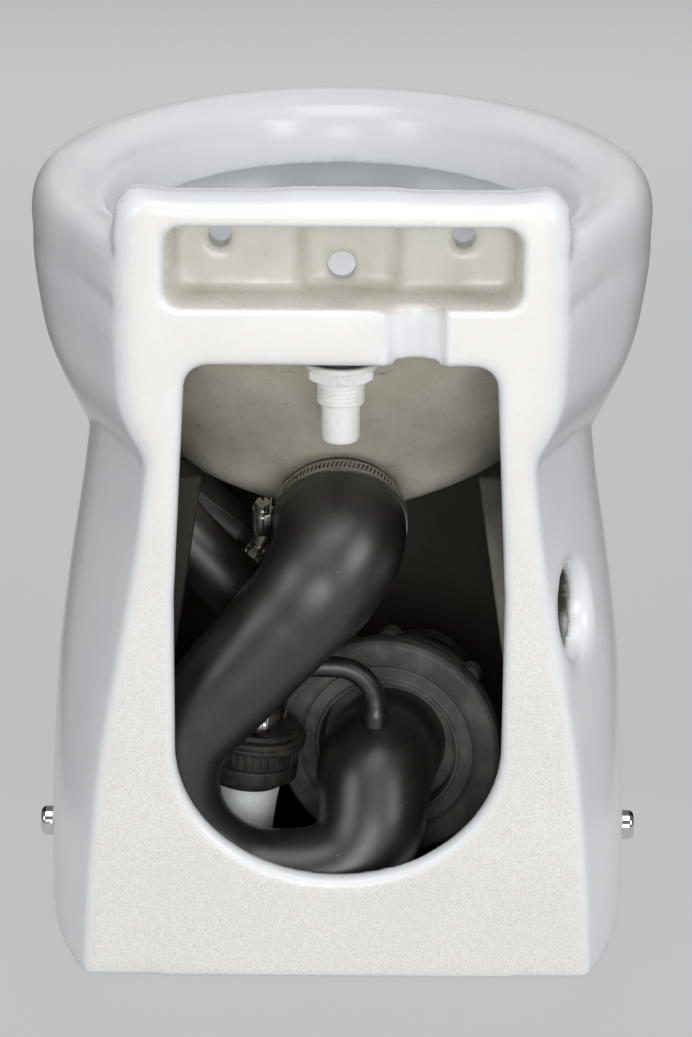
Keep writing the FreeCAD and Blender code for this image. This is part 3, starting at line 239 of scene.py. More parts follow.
def turned_pvc():
    """White PVC, injection moulded and thread cut: bright, slightly waxy, with faint grey handling marks."""
    material, node, place = start_material("white_pvc_moulded")
    smear = node(NOISE, place, per_mm(9.0), 5.0, 0.65)
    marks = node(RANGE, smear, 0.55, 0.8, 0.0, 0.5)
    colour = node(TINT, marks, "#f3f3f0", "#cfcdc6")
    shine = node(RANGE, smear, *MIDDLE, 0.26, 0.4)
    wax = node(NOISE, place, per_mm(1.2), 2.0, PLAIN)
    normal = node(BUMP, Height=wax, Distance=0.04 * MM)
    return end_material(material, colour, shine, Normal=normal, IOR=1.53)


def rolled_stainless():
    """Stainless strip, cold rolled: long fine lines, bright edges and a few dull handling marks."""
    material, node, place = start_material("stainless_strip_rolled")
    lines = node("ShaderNodeMapping", Vector=place, Scale=(0.15, 0.15, 1.0))
    grain = node(NOISE, lines, per_mm(0.8), 3.0, PLAIN)
    colour = node(TINT, grain, "#a9a69f", "#d6d3cc")
    marks = node(NOISE, place, per_mm(8.0), 3.0, PLAIN)
    shine = node(RANGE, marks, *MIDDLE, 0.2, 0.36)
    normal = node(BUMP, Height=grain, Distance=0.03 * MM)
    return end_material(material, colour, shine, Metallic=1.0, Normal=normal)


def plated_metal(name, light, dark, low, high, size):
    """A plated metal: an even bright skin with slight clouding that only shows in the reflections."""
    material, node, place = start_material(name)
    cloud = node(NOISE, place, per_mm(size), 3.0, PLAIN)
    colour = node(TINT, cloud, dark, light)
    shine = node(RANGE, cloud, *MIDDLE, low, high)
    return end_material(material, colour, shine, Metallic=1.0)


def blank_label():
    """Coated paper label, bare: flat white with a little yellowing and a dull coat."""
    material, node, place = start_material("label_paper_coated")
    stain = node(NOISE, place, per_mm(14.0), 3.0, PLAIN)
    stain = node(RANGE, stain, *MIDDLE, 0.0, 1.0)
    colour = node(TINT, stain, "#fbfcfe", "#eeeeec")
    fibre = node(NOISE, place, per_mm(0.8), 3.0, PLAIN)
    normal = node(BUMP, Height=fibre, Distance=0.02 * MM)
    return end_material(material, colour, 0.55, Normal=normal)


def studio_paper():
    """Seamless grey paper: an even tone that keeps the object's shadow, with painted shade inside the
    pedestal.
    """
    material, node, place = start_material("background_paper_matt")
    fibre = node(NOISE, place, per_mm(900.0), 2.0, PLAIN)
    tone = node(TINT, fibre, "#bcbebf", "#c0c1c2")
    # The floor within the pedestal's footprint is painted dark as shade. The length is 1 at the edge of that
    # oval.
    oval = node("ShaderNodeMapping", Vector=place, Location=(0.0, -0.45, 0.0), Scale=(7.4, 6.45, 0.0))
    away = node("ShaderNodeVectorMath", oval, out="Value", operation="LENGTH")
    outside = node(RANGE, away, 0.92, 1.04, 0.0, 1.0)
    # Painted shade: a dark floor colour inside the pedestal's footprint.
    tone = node(TINT, outside, "#2d2a24", tone)
    paper = node("ShaderNodeBsdfDiffuse", Color=tone)
    glow = node("ShaderNodeEmission", Color="#bfc0c1", Strength=1.04)
    # What the camera sees of the paper, also in metal, is mostly an even glow.
    seen = 0.0
    for way in ("Camera", "Transmission", "Glossy"):
        ray = node("ShaderNodeLightPath", out="Is " + way + " Ray")
        seen = node("ShaderNodeMath", ray, seen, operation="MAXIMUM")
    share = node(TIMES, seen, 0.9)
    share = node(TIMES, share, outside)
    both = node("ShaderNodeMixShader", share, paper, glow)
    node("ShaderNodeOutputMaterial", Surface=both)
    return material


def flag_cloth():
    """Black studio cloth: a dark weave that only shows as a band in the shiny pieces."""
    material, node, place = start_material("flag_cloth_woven")
    weave = node(NOISE, place, per_mm(4.0), 2.0, PLAIN)
    colour = node(TINT, weave, "#161616", "#242424")
    return end_material(material, colour, 0.9)


CHINA = glazed_china()
BOOT_RUBBER = moulded_rubber("epdm_rubber_moulded", "#151516", 0.8)
HOSE_RUBBER = moulded_rubber("nitrile_rubber_extruded", "#131314", 0.35)
SEAL_RUBBER = moulded_rubber("soft_rubber_seal_moulded", "#121213", 0.2)
PUMP_NYLON = moulded_nylon("glass_filled_nylon_moulded", "#58585a", "#807f7b", 18.0)
VALVE_PLASTIC = moulded_nylon("polypropylene_moulded", "#1d1d1e", "#3a3733", 9.0)
PVC = turned_pvc()
STAINLESS = rolled_stainless()
CHROME = plated_metal("brass_chrome_plated", "#e6e8ea", "#d3d6d9", 0.03, 0.09, 5.0)
ZINC = plated_metal("steel_zinc_plated", "#b9b8b2", "#8e8d87", 0.3, 0.5, 6.0)
BRIGHT_STEEL = plated_metal("steel_ground", "#c4c3bf", "#a09f9b", 0.18, 0.34, 3.0)
IRON = plated_metal("iron_laminations_pressed", "#55524d", "#37342f", 0.45, 0.65, 4.0)
MOTOR_PAINT = moulded_nylon("steel_black_lacquered", "#161617", "#252423", 25.0)
LABEL = blank_label()
PAPER = studio_paper()
FLAG = flag_cloth()


# Mesh helpers. Shapes are worked out in mm and placed by a matrix whose own Z is the piece's axis.
def axes(origin, forward, side):
    """A matrix with its Z along forward, its X as near side as it can be, and its origin in metres."""
    z = Vector(forward).normalized()
    x = (Vector(side) - z * Vector(side).dot(z)).normalized()
    matrix = Matrix((x, z.cross(x), z)).transposed().to_4x4()
    matrix.translation = origin
    return matrix @ Matrix.Scale(MM, 4)


def settled(holder, name):
    """The plain mesh of an object after its modifiers, which go with the object."""
    view = bpy.context.evaluated_depsgraph_get()
    view.update()
    mesh = bpy.data.meshes.new_from_object(holder.evaluated_get(view))
    mesh.name = name
    holder.modifiers.clear()
    bpy.data.objects.remove(holder)
    return mesh


def mesh_from(made, name):
    """The mesh of a shape that has been built up."""
    mesh = bpy.data.meshes.new(name)
    made.to_mesh(mesh)
    made.free()
    return mesh


def mesh_of(name, points, faces):
    """A mesh with doubles merged and normals outwards."""
    made = bmesh.new()
    corners = [made.verts.new(p) for p in points]
    for face in faces:
        made.faces.new([corners[i] for i in face])
    bmesh.ops.remove_doubles(made, verts=made.verts, dist=0.002)
    bmesh.ops.dissolve_degenerate(made, edges=made.edges, dist=0.001)
    bmesh.ops.recalc_face_normals(made, faces=made.faces)
    return mesh_from(made, name)


def piece(mesh, material, stands_for, sharp=35.0, body="frame"):
    """A finished piece, with its mesh's name, that moves with a body and stands for a CAD node."""
    made = placed(mesh.name, mesh)
    mesh.materials.clear()
    mesh.materials.append(material)
    mesh.shade_smooth()
    mesh.set_sharp_from_angle(angle=math.radians(sharp))
    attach(made, body)
    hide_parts(stands_for)


def joined(name, meshes):
    """One mesh from several shells."""
    made = bmesh.new()
    for mesh in meshes:
        made.from_mesh(mesh)
    return mesh_from(made, name)


# Outline points nearer to the axis than this lie on it.
ON_AXIS = 0.01


def softened(profile, radius, steps=3):
    """A closed outline with its corners rounded; corners on the axis stay."""
    points = [Vector(p) for p in profile]
    result = []
    for i, corner in enumerate(points):
        before = points[i - 1] - corner
        after = points[(i + 1) % len(points)] - corner
        reach = min(radius, 0.45 * before.length, 0.45 * after.length)
        if corner.x < ON_AXIS or reach < 0.02:
            result.append(corner)
            continue
        first = corner + before.normalized() * reach
        last = corner + after.normalized() * reach
        for step in range(steps + 1):
            t = step / steps
            result.append(first * (1 - t) ** 2 + corner * 2 * t * (1 - t) + last * t * t)
    return [tuple(p) for p in result]


def lathe(name, profile, matrix, segments, shape=None):
    """A closed (radius, height) outline turned about Z; shape may change the radius by angle and height."""
    points, faces = [], []
    count = len(profile)
    for s in range(segments):
        angle = 2 * math.pi * s / segments
        for radius, height in profile:
            r = radius if shape is None else shape(radius, height, angle)
            points.append((r * math.cos(angle), r * math.sin(angle), height))
    for s in range(segments):
        here, there = s * count, (s + 1) % segments * count
        for i in range(count):
            j = (i + 1) % count
            if max(profile[i][0], profile[j][0]) < ON_AXIS:
                continue
            faces.append((here + i, there + i, there + j, here + j))
    mesh = mesh_of(name, points, faces)
    mesh.transform(matrix)
    return mesh


ARC_STEPS = 24


def bent_path(corners, radii, step=2.5, ease=7.0):
    """Even points in mm on straight runs and tangent arcs between places, with the joins eased."""
    corners = [c / MM for c in corners]
    dense = [corners[0]]
    for i, radius in enumerate(radii, 1):
        before = (corners[i - 1] - corners[i]).normalized()
        after = (corners[i + 1] - corners[i]).normalized()
        half = before.angle(after) / 2
        reach = radius / math.tan(half)
        centre = corners[i] + (before + after).normalized() * radius / math.sin(half)
        first = corners[i] + before * reach - centre
        last = corners[i] + after * reach - centre
        turn = first.angle(last)
        for n in range(ARC_STEPS + 1):
            t = n / ARC_STEPS
            swing = first * math.sin((1 - t) * turn) + last * math.sin(t * turn)
            dense.append(centre + swing / math.sin(turn))
    dense.append(corners[-1])
    line = np.array([tuple(p) for p in dense])
    walk = np.concatenate([[0], np.cumsum(np.linalg.norm(np.diff(line, axis=0), axis=1))])
    count = int(walk[-1] / step) + 1
    at = np.linspace(0, walk[-1], count)
    even = np.stack([np.interp(at, walk, line[:, k]) for k in range(3)], axis=1)
    window = max(1, int(ease / step))
    smooth = even.copy()
    for _ in range(3):
        padded = np.pad(smooth, ((window, window), (0, 0)), mode="reflect", reflect_type="odd")
        smooth = np.stack([padded[i:i + count] for i in range(2 * window + 1)]).mean(0)
    return smooth, at


SEAM_ANGLES = (-0.05, -0.02, 0.0, 0.02, 0.05)
SEAM_HALF_ANGLE = 0.03
SEAM_LIFT = 0.22


def tube(name, path, radius_at, segments, start_side, seams=()):
    """A closed round tube along a path in mm; seams are angles that carry a thin moulded parting line."""
    angles = list(np.linspace(0, 2 * math.pi, segments, endpoint=False))
    for seam in seams:
        angles += [seam + a for a in SEAM_ANGLES]
    angles = np.array(sorted(a % (2 * math.pi) for a in angles))
    lift = np.zeros(len(angles))
    for seam in seams:
        gap = np.abs((angles - seam + math.pi) % (2 * math.pi) - math.pi)
        lift += np.clip(1 - gap / SEAM_HALF_ANGLE, 0, 1) * SEAM_LIFT
    tangents = np.gradient(path, axis=0)
    tangents /= np.linalg.norm(tangents, axis=1)[:, None]
    side = np.array(start_side, float)
    points, faces = [], []
    count = len(angles)
    for p, t, r in zip(path, tangents, radius_at):
        side = side - t * side.dot(t)
        side /= np.linalg.norm(side)
        other = np.cross(t, side)
        ring = (r + lift)[:, None] * (np.cos(angles)[:, None] * side + np.sin(angles)[:, None] * other) + p
        points += [tuple(v) for v in ring]
    for row in range(len(path) - 1):
        for i in range(count):
            j = (i + 1) % count
            faces.append((row * count + i, row * count + j, (row + 1) * count + j, (row + 1) * count + i))
    faces.append(tuple(range(count)))
    last = (len(path) - 1) * count
    faces.append(tuple(range(last, last + count)))
    mesh = mesh_of(name, points, faces)
    mesh.transform(Matrix.Scale(MM, 4))
    return mesh


def along(at, stops):
    """Radii along a tube from (distance, radius) stops, eased between them."""
    stop, radius = np.array(stops).T
    i = np.clip(np.searchsorted(stop, at) - 1, 0, len(stops) - 2)
    return radius[i] + (radius[i + 1] - radius[i]) * eased(at, stop[i], stop[i + 1])


# A geometry node tree that sets copies of one shape around a ring.
def ring_tree():
    tree = bpy.data.node_groups.new("ring_of_copies", "GeometryNodeTree")
    tree.interface.new_socket("Geometry", in_out="OUTPUT", socket_type="NodeSocketGeometry")
    kinds = {"Shape": "Object", "Count": "Int", "Radius": "Float", "Weld": "Float", "Material": "Material"}
    sockets = {}
    for name, kind in kinds.items():
        made = tree.interface.new_socket(name, in_out="INPUT", socket_type="NodeSocket" + kind)
        sockets[name] = made.identifier
    node = partial(add, tree)
    given = {name: node("NodeGroupInput", out=name) for name in kinds}
    circle = node("GeometryNodeMeshCircle", Vertices=given["Count"], Radius=given["Radius"])
    index = node("GeometryNodeInputIndex")
    part = node("ShaderNodeMath", index, given["Count"], operation="DIVIDE")
    turn = node(TIMES, part, 2 * math.pi)
    spin = node("ShaderNodeCombineXYZ", Z=turn)
    shape = node("GeometryNodeObjectInfo", out="Geometry", Object=given["Shape"])
    copies = node("GeometryNodeInstanceOnPoints", Points=circle, Instance=shape, Rotation=spin)
    real = node("GeometryNodeRealizeInstances", Geometry=copies)
    weld = node("GeometryNodeMergeByDistance", Geometry=real, Distance=given["Weld"])
    skin = node("GeometryNodeSetMaterial", Geometry=weld, Material=given["Material"])
    node("NodeGroupOutput", Geometry=skin)
    return tree, sockets


RING, RING_SOCKETS = ring_tree()
NO_WELD = 0.001
LINK_WELD = 0.12


def ring_of(name, shape_mesh, count, radius, weld, material, matrix):
    """The plain mesh of copies of a shape, which faces outwards along its own X, around a ring in mm."""
    shape = placed(name + "_shape", shape_mesh)
    holder = placed(name + "_ring", bpy.data.meshes.new(name + "_holder"))
    modifier = holder.modifiers.new("ring", "NODES")
    modifier.node_group = RING
    values = {"Shape": shape, "Count": count, "Radius": radius, "Weld": weld, "Material": material}
    for key, value in values.items():
        modifier[RING_SOCKETS[key]] = value
    mesh = settled(holder, name)
    bpy.data.objects.remove(shape)
    mesh.transform(matrix)
    return mesh


# China: the cast body with its edges rounded as glaze rounds them, and its finishes marked on the surface.
VOXEL = 2.0
CHINA_FACES = 188000


def changed(name, mesh, *steps):
    """The mesh after some modifiers, each given as a kind and its settings."""
    holder = placed(name + "_holder", mesh)
    for kind, settings in steps:
        modifier = holder.modifiers.new(kind.lower(), kind)
        for key, value in settings.items():
            setattr(modifier, key, value)
    return settled(holder, name)


def cast_mesh():
    """The merged CAD body, remeshed evenly so that every edge can be eased."""
    merged = bmesh.new()
    merged.from_mesh(nodes["china_bowl"].data)
    bmesh.ops.remove_doubles(merged, verts=merged.verts, dist=0.01 * MM)
    remesh = ("REMESH", {"mode": "VOXEL", "voxel_size": VOXEL * MM})
    smooth = ("SMOOTH", {"factor": 0.5, "iterations": 2})
    return changed("even_body", mesh_from(merged, "cast_body"), remesh, smooth)


def eased(values, low, high):
    """A smooth rise from 0 at low to 1 at high."""
    t = np.clip((values - low) / (high - low), 0, 1)
    return t * t * (3 - 2 * t)


def band(values, start, full, fade, end):
    """Rises from start to full and falls again from fade to end."""
    return eased(values, start, full) * eased(end - values, 0, end - fade)


def read_points(mesh, key):
    values = np.empty(len(mesh.vertices) * 3, np.float32)
    mesh.vertices.foreach_get(key, values)
    return values.reshape(-1, 3).astype(float)


def neighbours(mesh):
    """The two ends of every edge, and how many edges meet at each point."""
    ends = np.empty(len(mesh.edges) * 2, np.int32)
    mesh.edges.foreach_get("vertices", ends)
    ends = ends.reshape(-1, 2)
    share = np.bincount(ends.ravel(), minlength=len(mesh.vertices))
    return ends, np.maximum(share, 1)


def averaged(values, ends, share):
    """Each point's mean over its neighbours."""
    count = len(share)
    total = np.bincount(ends[:, 0], values[ends[:, 1]], count)
    total += np.bincount(ends[:, 1], values[ends[:, 0]], count)
    return total / share


def relax(mesh, weight, rounds):
    """Eases the marked part of a mesh towards its neighbours."""
    ends = neighbours(mesh)[0]
    ends = ends[weight[ends].max(1) > 0]
    used, ends = np.unique(ends, return_inverse=True)
    ends = ends.reshape(-1, 2)
    share = np.bincount(ends.ravel(), minlength=len(used))
    at = read_points(mesh, "co")
    part = at[used]
    pull = 0.5 * weight[used]
    for _ in range(rounds):
        for k in range(3):
            part[:, k] += pull * (averaged(part[:, k], ends, share) - part[:, k])
    at[used] = part
    move_points(mesh, at)


def move_points(mesh, at):
    mesh.vertices.foreach_set("co", at.astype(np.float32).ravel())
    mesh.update()


def places(mesh):
    """Each point's place right of the middle, forward of the back plane and above the floor, in mm."""
    at = read_points(mesh, "co") / MM
    return -at[:, 0], BACK_PLANE - at[:, 1], at[:, 2]


# Side hose hole in the right flank, with its axis turned a little to the back.
HOLE_TURN = math.radians(15.0)
HOLE_RIGHT = 133.5
HOLE_DEPTH = 40.0
HOLE_HEIGHT = 212.0
LIP_DROP = 2.4

# Half the width and half the length of the rim.
RIM_HALF_WIDTH = 180.0
RIM_HALF_LENGTH = 230.0


# Regions of the china are given by their limits in mm, to the right, in depth and in height.
def hole_reach(right, depth, height):
    """Distance from the axis of the side hose hole."""
    across = (depth - HOLE_DEPTH) * math.cos(HOLE_TURN) + (right - HOLE_RIGHT) * math.sin(HOLE_TURN)
    return np.hypot(across, height - HOLE_HEIGHT)


def boxed(right, depth, height, half, low, high, deep):
    """Points within half a width of the middle, between two heights and up to a depth."""
    return (np.abs(right) < half) & (height > low) & (height < high) & (depth < deep)


def inside_hollow(mesh, tree):
    """Points of the hollow under the bowl: china above, in front and on both sides."""
    ceiling = 372 * MM
    clearance = 1.5 * MM
    at = read_points(mesh, "co")
    normal = read_points(mesh, "normal")
    right, depth, height = places(mesh)
    ways = (Vector((1, 0, 0)), Vector((-1, 0, 0)), Vector((0, -1, 0)))
    hidden = np.zeros(len(at))
    for i in np.nonzero((height < 370) & (depth > 3))[0]:
        start = Vector(at[i] + normal[i] * clearance)
        above = tree.ray_cast(start, Vector((0, 0, 1)))[0]
        if above is not None and above.z < ceiling:
            hidden[i] = all(tree.ray_cast(start, way)[0] is not None for way in ways)
    # The bore of the hose hole and the china around it belong to the glazed outside.
    reach = hole_reach(right, depth, height)
    outward = (right - HOLE_RIGHT) * math.cos(HOLE_TURN) - (depth - HOLE_DEPTH) * math.sin(HOLE_TURN)
    bore = (reach < 28) & (outward > -7)
    surround = (reach >= 28) & (reach < 50) & (outward > -10.5)
    return hidden * eased(depth, 5, 11) * ~(bore | surround)


def even_bowl(mesh, hollow, tree):
    """Gives the back of the bowl the even wall of a cast shell where it shows under the upstand."""
    wall = 12.0
    thickest = 60.0
    at = read_points(mesh, "co")
    right, depth, height = places(mesh)
    weight = hollow * band(depth, 60, 72, 108, 120) * eased(height, 290, 302)
    weight *= eased(112 - np.abs(right), 0, 14)
    inward = Vector((0, -0.85, 0.53)).normalized()
    for i in np.nonzero(weight > 0)[0]:
        hit = tree.ray_cast(Vector(at[i]) + inward * MM, inward, thickest * MM)
        if hit[0] is not None:
            at[i] += np.array(inward) * weight[i] * (hit[3] + (1.0 - wall) * MM)
    move_points(mesh, at)


def tuck_bowl(mesh, hollow):
    """Brings the turn of the bowl's underside nearer to the opening along the lines of sight."""
    reach = 30.0
    sight_slope = 0.344
    at = read_points(mesh, "co")
    right, depth, height = places(mesh)
    sight = height + sight_slope * depth
    weight = hollow * band(depth, 100, 160, 170, 270) * eased(330 - sight, 0, 30)
    weight *= eased(120 - np.abs(right), 0, 20) * eased(height, 215, 228)
    toward = np.array(scene.camera.location) - at
    toward /= np.linalg.norm(toward, axis=1)[:, None]
    move_points(mesh, at + toward * (weight * reach * MM)[:, None])


def trim_hose_hole(mesh):
    """Fills the hose hole's wide countersink out to the flank, leaving the small glazed lip that shows."""
    at = read_points(mesh, "co")
    right, depth, height = places(mesh)
    reach = hole_reach(right, depth, height)
    facing = (right > 100) & (read_points(mesh, "normal")[:, 0] < -0.2)
    terms = np.stack([np.ones(len(right)), depth, height, depth ** 2, depth * height, height ** 2], axis=1)
    around = facing & (reach > 40) & (reach < 58)
    flank = terms @ np.linalg.lstsq(terms[around], right[around], rcond=None)[0]
    lip = facing & (reach > 24) & (reach < 40)
    filled = np.maximum(right, flank - LIP_DROP * (1 - eased(reach, 25, 31)))
    at[lip, 0] = -filled[lip] * MM
    move_points(mesh, at)
    near_lip = (right > flank - 12) & (right > 100)
    relax(mesh, near_lip * band(reach, 18, 23, 44, 50), 40)


def ease_china(mesh, hollow):
    """Rounds the cast edges: wide under the bowl, soft on the rim and tight in the recess."""
    right, depth, height = places(mesh)
    normal = read_points(mesh, "normal")
    aside = np.abs(right)
    under = hollow * eased(height, 225, 240) * eased(depth, 22, 40) * (aside < 116)
    gusset = (aside > 70) & (height < 287) & (depth < 84)
    relax(mesh, under * ~gusset, 110)
    outward = -normal[:, 0] * right / RIM_HALF_WIDTH
    outward -= normal[:, 1] * (depth - RIM_HALF_LENGTH) / RIM_HALF_LENGTH
    flank = band(height, 332, 366, 424, 434) * eased(outward, 0.15, 0.4) * eased(depth, 56, 92)
    relax(mesh, flank, 25)
    basin = band(height, 350, 360, 416, 424) * (outward < 0.15) * eased(depth, 62, 74)
    relax(mesh, basin, 12)
    recess = boxed(right, depth, height, 102, 393, 450, 58)
    relax(mesh, recess * eased(depth, 3, 7), 4)
    notch = boxed(right - 41, depth, height, 20, 355, 406, 20)
    back_edge = (depth < 14) & ~recess & ~notch & (hollow < 0.1)
    outer_edge = back_edge & ((aside > 101) | (height > 452))
    relax(mesh, back_edge.astype(float), 5)
    relax(mesh, outer_edge.astype(float), 10)
    soft_side = band(right, 14, 20, 28, 36) * (depth < 24)
    relax(mesh, soft_side * band(height, 367, 376, 397, 405), 30)


def mark_finishes(mesh, hollow):
    """Attributes for the sprayed back and its grain, the recess, the bare hollow, and the painted shade in
    the hollow.
    """
    right, depth, height = places(mesh)
    normal = read_points(mesh, "normal")
    sprayed = eased(normal[:, 1], 0.8, 0.98) * (depth < 2.5)
    grainy = sprayed * (0.2 + 0.8 * eased(330 - height, 0, 170))
    recess = boxed(right, depth, height, 101, 394, 448, 58) * eased(depth, 1, 5)
    # Painted shade: the walls deep inside and low down, and the gussets at both sides, with the bore behind
    # the hose hole, are painted dark.
    wall = np.maximum(eased(250 - height, 0, 15), eased(depth, 165, 200))
    wall = np.maximum(wall, eased(np.abs(normal[:, 0]), 0.75, 0.92))
    painted_shade_walls = eased(depth, 75, 125) * eased(325 - height, 0, 60) * wall
    painted_shade_walls = 0.9 * np.maximum(painted_shade_walls, eased(120 - height, 0, 50))
    gusset = (np.abs(right) > 72) & (height < 290) & (depth > 60) & (depth < 80)
    gusset |= (right > 100) & (hole_reach(right, depth, height) < 32)
    shade = np.where((right < 0) | (right > 106), 1.0, 0.74 + 0.2 * eased(height, 235, 262))
    # deep holds painted shade, not a finish of the china.
    deep = hollow * np.maximum(painted_shade_walls, shade * gusset)
    ends, share = neighbours(mesh)
    for name, values in zip(FINISH_AND_SHADE_MASKS, (sprayed, grainy, recess, hollow, deep)):
        for _ in range(3):
            values = 0.5 * values + 0.5 * averaged(values, ends, share)
        mesh.attributes.new(name, "FLOAT", "POINT").data.foreach_set("value", values.astype(np.float32))


def make_china():
    mesh = cast_mesh()
    faces = [tuple(f.vertices) for f in mesh.polygons]
    tree = BVHTree.FromPolygons([tuple(p) for p in read_points(mesh, "co")], faces)
    hollow = inside_hollow(mesh, tree)
    even_bowl(mesh, hollow, tree)
    tuck_bowl(mesh, hollow)
    trim_hose_hole(mesh)
    ease_china(mesh, hollow)
    mark_finishes(mesh, hollow)
    mesh = changed("china", mesh, ("DECIMATE", {"ratio": CHINA_FACES / (2 * len(faces))}))
    piece(mesh, CHINA, "china_bowl", 180.0)


make_china()


# Rinse spigot: a cut thread, a plain tail and a flanged hexagon nut.
SPIGOT = spot(0, 38, 0)
THREAD_PITCH = 2.3
# Outline points at the mark's radius take the shape of the thread.
THREAD_MARK = 13.0
THREAD_ROOT = 12.6
THREAD_RISE = 0.85
NUT_BORE = 13.5
NUT_HALF_FLATS = 18.0
NUT_FLANGE = 355.9


def make_spigot():
    place = axes(SPIGOT, (0, 0, 1), (1, 0, 0))
    top, shoulder, bottom = 373.0, 335.0, 313.5
    profile = [(8.0, bottom + 1.0), (8.6, bottom), (9.4, bottom), (10.8, bottom + 2.0), (10.8, shoulder)]
    turns = int((top - shoulder) / (THREAD_PITCH / 8))
    for n in range(turns + 1):
        profile.append((THREAD_MARK, shoulder + 0.4 + (top - shoulder - 0.4) * n / turns))
    profile.append((8.0, top))

    def thread(radius, height, angle):
        if radius != THREAD_MARK:
            return radius
        turn = ((height - shoulder) / THREAD_PITCH - angle / (2 * math.pi)) % 1.0
        run_out = min(1.0, (height - shoulder) / 1.5)
        return THREAD_ROOT + THREAD_RISE * run_out * min(1.0, 1.6 * (1 - abs(2 * turn - 1)))

    piece(lathe("rinse_spigot", profile, place, 96, thread), PVC, "inlet_spigot", 50.0)
    nut = softened([(NUT_BORE, 350.0), (17.2, 350.0), (18.9, 352.0), (18.9, 355.6), (20.4, 356.2),
                    (20.4, 358.7), (19.6, 359.5), (NUT_BORE, 359.5)], 0.5)

    def hexagon(radius, height, angle):
        flat = NUT_HALF_FLATS / math.cos((angle + math.pi / 6) % (math.pi / 3) - math.pi / 6)
        if height > NUT_FLANGE or radius < NUT_BORE + 0.5:
            return radius
        return min(radius * 1.08, flat)

    piece(lathe("spigot_nut", nut, place, 144, hexagon), PVC, "inlet_nut", 30.0)
    gasket = softened([(NUT_BORE, 359.5), (17.5, 359.5), (17.9, 363.0), (16.6, 368.5),
                       (NUT_BORE, 368.5)], 0.8)
    piece(lathe("spigot_gasket", gasket, place, 72), SEAL_RUBBER, "inlet_gasket")


make_spigot()


# Pump frame: its axis runs forward and to the right from the middle of the cover face.
PUMP_YAW = math.radians(12.0)
PUMP_FACE = spot(29.3, 118, 93)
PUMP_AHEAD = Vector((-math.sin(PUMP_YAW), -math.cos(PUMP_YAW), 0))
PUMP = axes(PUMP_FACE, PUMP_AHEAD, (0, 0, 1))

# Trap boot: sleeve on the outlet horn, elbow, slanting leg, return bend and the dome at the pump.
HORN_DROP = math.radians(14.0)
HORN_OUT = Vector((0, math.cos(HORN_DROP), -math.sin(HORN_DROP)))
HORN_END = spot(0, 79, 246.6)
BOOT_PLANE = 42.5
LEG_TILT = math.radians(40.9)
LOW_RUN = 44.0
DOME_LIFT = Vector((0, 0, 6 * MM))


def make_boot():
    elbow = HORN_END + HORN_OUT * (79 - BOOT_PLANE) / math.cos(HORN_DROP) * MM
    leg_side = (elbow.z / MM - LOW_RUN) * math.tan(LEG_TILT)
    corners = [
        HORN_END - HORN_OUT * 17 * MM,
        elbow,
        spot(-leg_side, BOOT_PLANE, LOW_RUN),
        spot(22, BOOT_PLANE, LOW_RUN),
        PUMP_FACE - PUMP_AHEAD * 43 * MM + DOME_LIFT,
        PUMP_FACE + PUMP_AHEAD * 14 * MM,
    ]
    path, at = bent_path(corners, [38, 60, 40, 33])
    end = at[-1]
    radius = along(at, [(0, 38.3), (24, 38.5), (34, 37.8), (58, 35.2), (85, 32.0), (130, 30.4), (190, 27.8),
                        (280, 27.0), (end - 120, 28.6), (end - 80, 32.0), (end - 55, 34.6), (end - 28, 34.2),
                        (end, 33.4)])
    piece(tube("trap_boot_skin", path, radius, 72, (0, 0, 1)), BOOT_RUBBER, "trap_boot", 60.0)


make_boot()

VENT = [(22, 77, 104), (22, 77, 162), (-40.6, 77, 162), (-40.6, 77, 190), (-40.6, 60, 190)]


def make_vent():
    path, at = bent_path([spot(*p) for p in VENT], [24, 13, 9], 1.5, 4.0)
    radius = along(at, [(0, 8.6), (28, 8.2), (34, 6.9), (40, 6.3), (at[-1], 6.1)])
    piece(tube("air_bleed_tube", path, radius, 40, (1, 0, 0)), HOSE_RUBBER, "vent_hose", 60.0)


make_vent()

# Check valve on its leaning axis, measured up from the floor end.
VALVE_LEAN = math.radians(8.0)
VALVE_BASE = spot(-66, 102, 12)
VALVE_UP = Vector((-math.sin(VALVE_LEAN), 0, math.cos(VALVE_LEAN)))
VALVE = axes(VALVE_BASE, VALVE_UP, (1, 0, 0))
OUTLET_TILT = math.radians(38.2)
OUTLET_DOWN = Vector((-math.cos(OUTLET_TILT), 0, -math.sin(OUTLET_TILT)))
HOSE_RIM = spot(-59.2, 147.5, 216.2)
HOSE_SEAM = 2.2


def make_discharge_hose():
    mouth = VALVE_BASE + VALVE_UP * 108.5 * MM
    corners = [mouth, mouth + VALVE_UP * 62.5 * MM, spot(-108, 102, 252.3), HOSE_RIM - OUTLET_DOWN * 62 * MM,
               HOSE_RIM + OUTLET_DOWN * 16 * MM]
    path, at = bent_path(corners, [45, 22, 22], 2.0, 4.0)
    end = at[-1]
    radius = along(at, [(0, 18.4), (24, 18.5), (60, 18.7), (130, 19.4), (end - 60, 19.2), (end - 21, 18.9),
                        (end - 14, 16.6), (end, 16.6)])
    mesh = tube("discharge_hose_skin", path, radius, 56, (0, 1, 0), (HOSE_SEAM, HOSE_SEAM + math.pi))
    piece(mesh, HOSE_RUBBER, "discharge_hose", 60.0)


make_discharge_hose()


# Worm-drive clips: a slotted band, a pressed housing and a screw with a slotted hexagon head.
BAND_WIDTH = 10.0
BAND_THICK = 0.8
BAND_EDGE = 0.7
BAND_ROUND = 0.3
SLOT_PITCH = 2.5
SLOT_LEAN = 0.22
SCREW_LIFT = 5.25


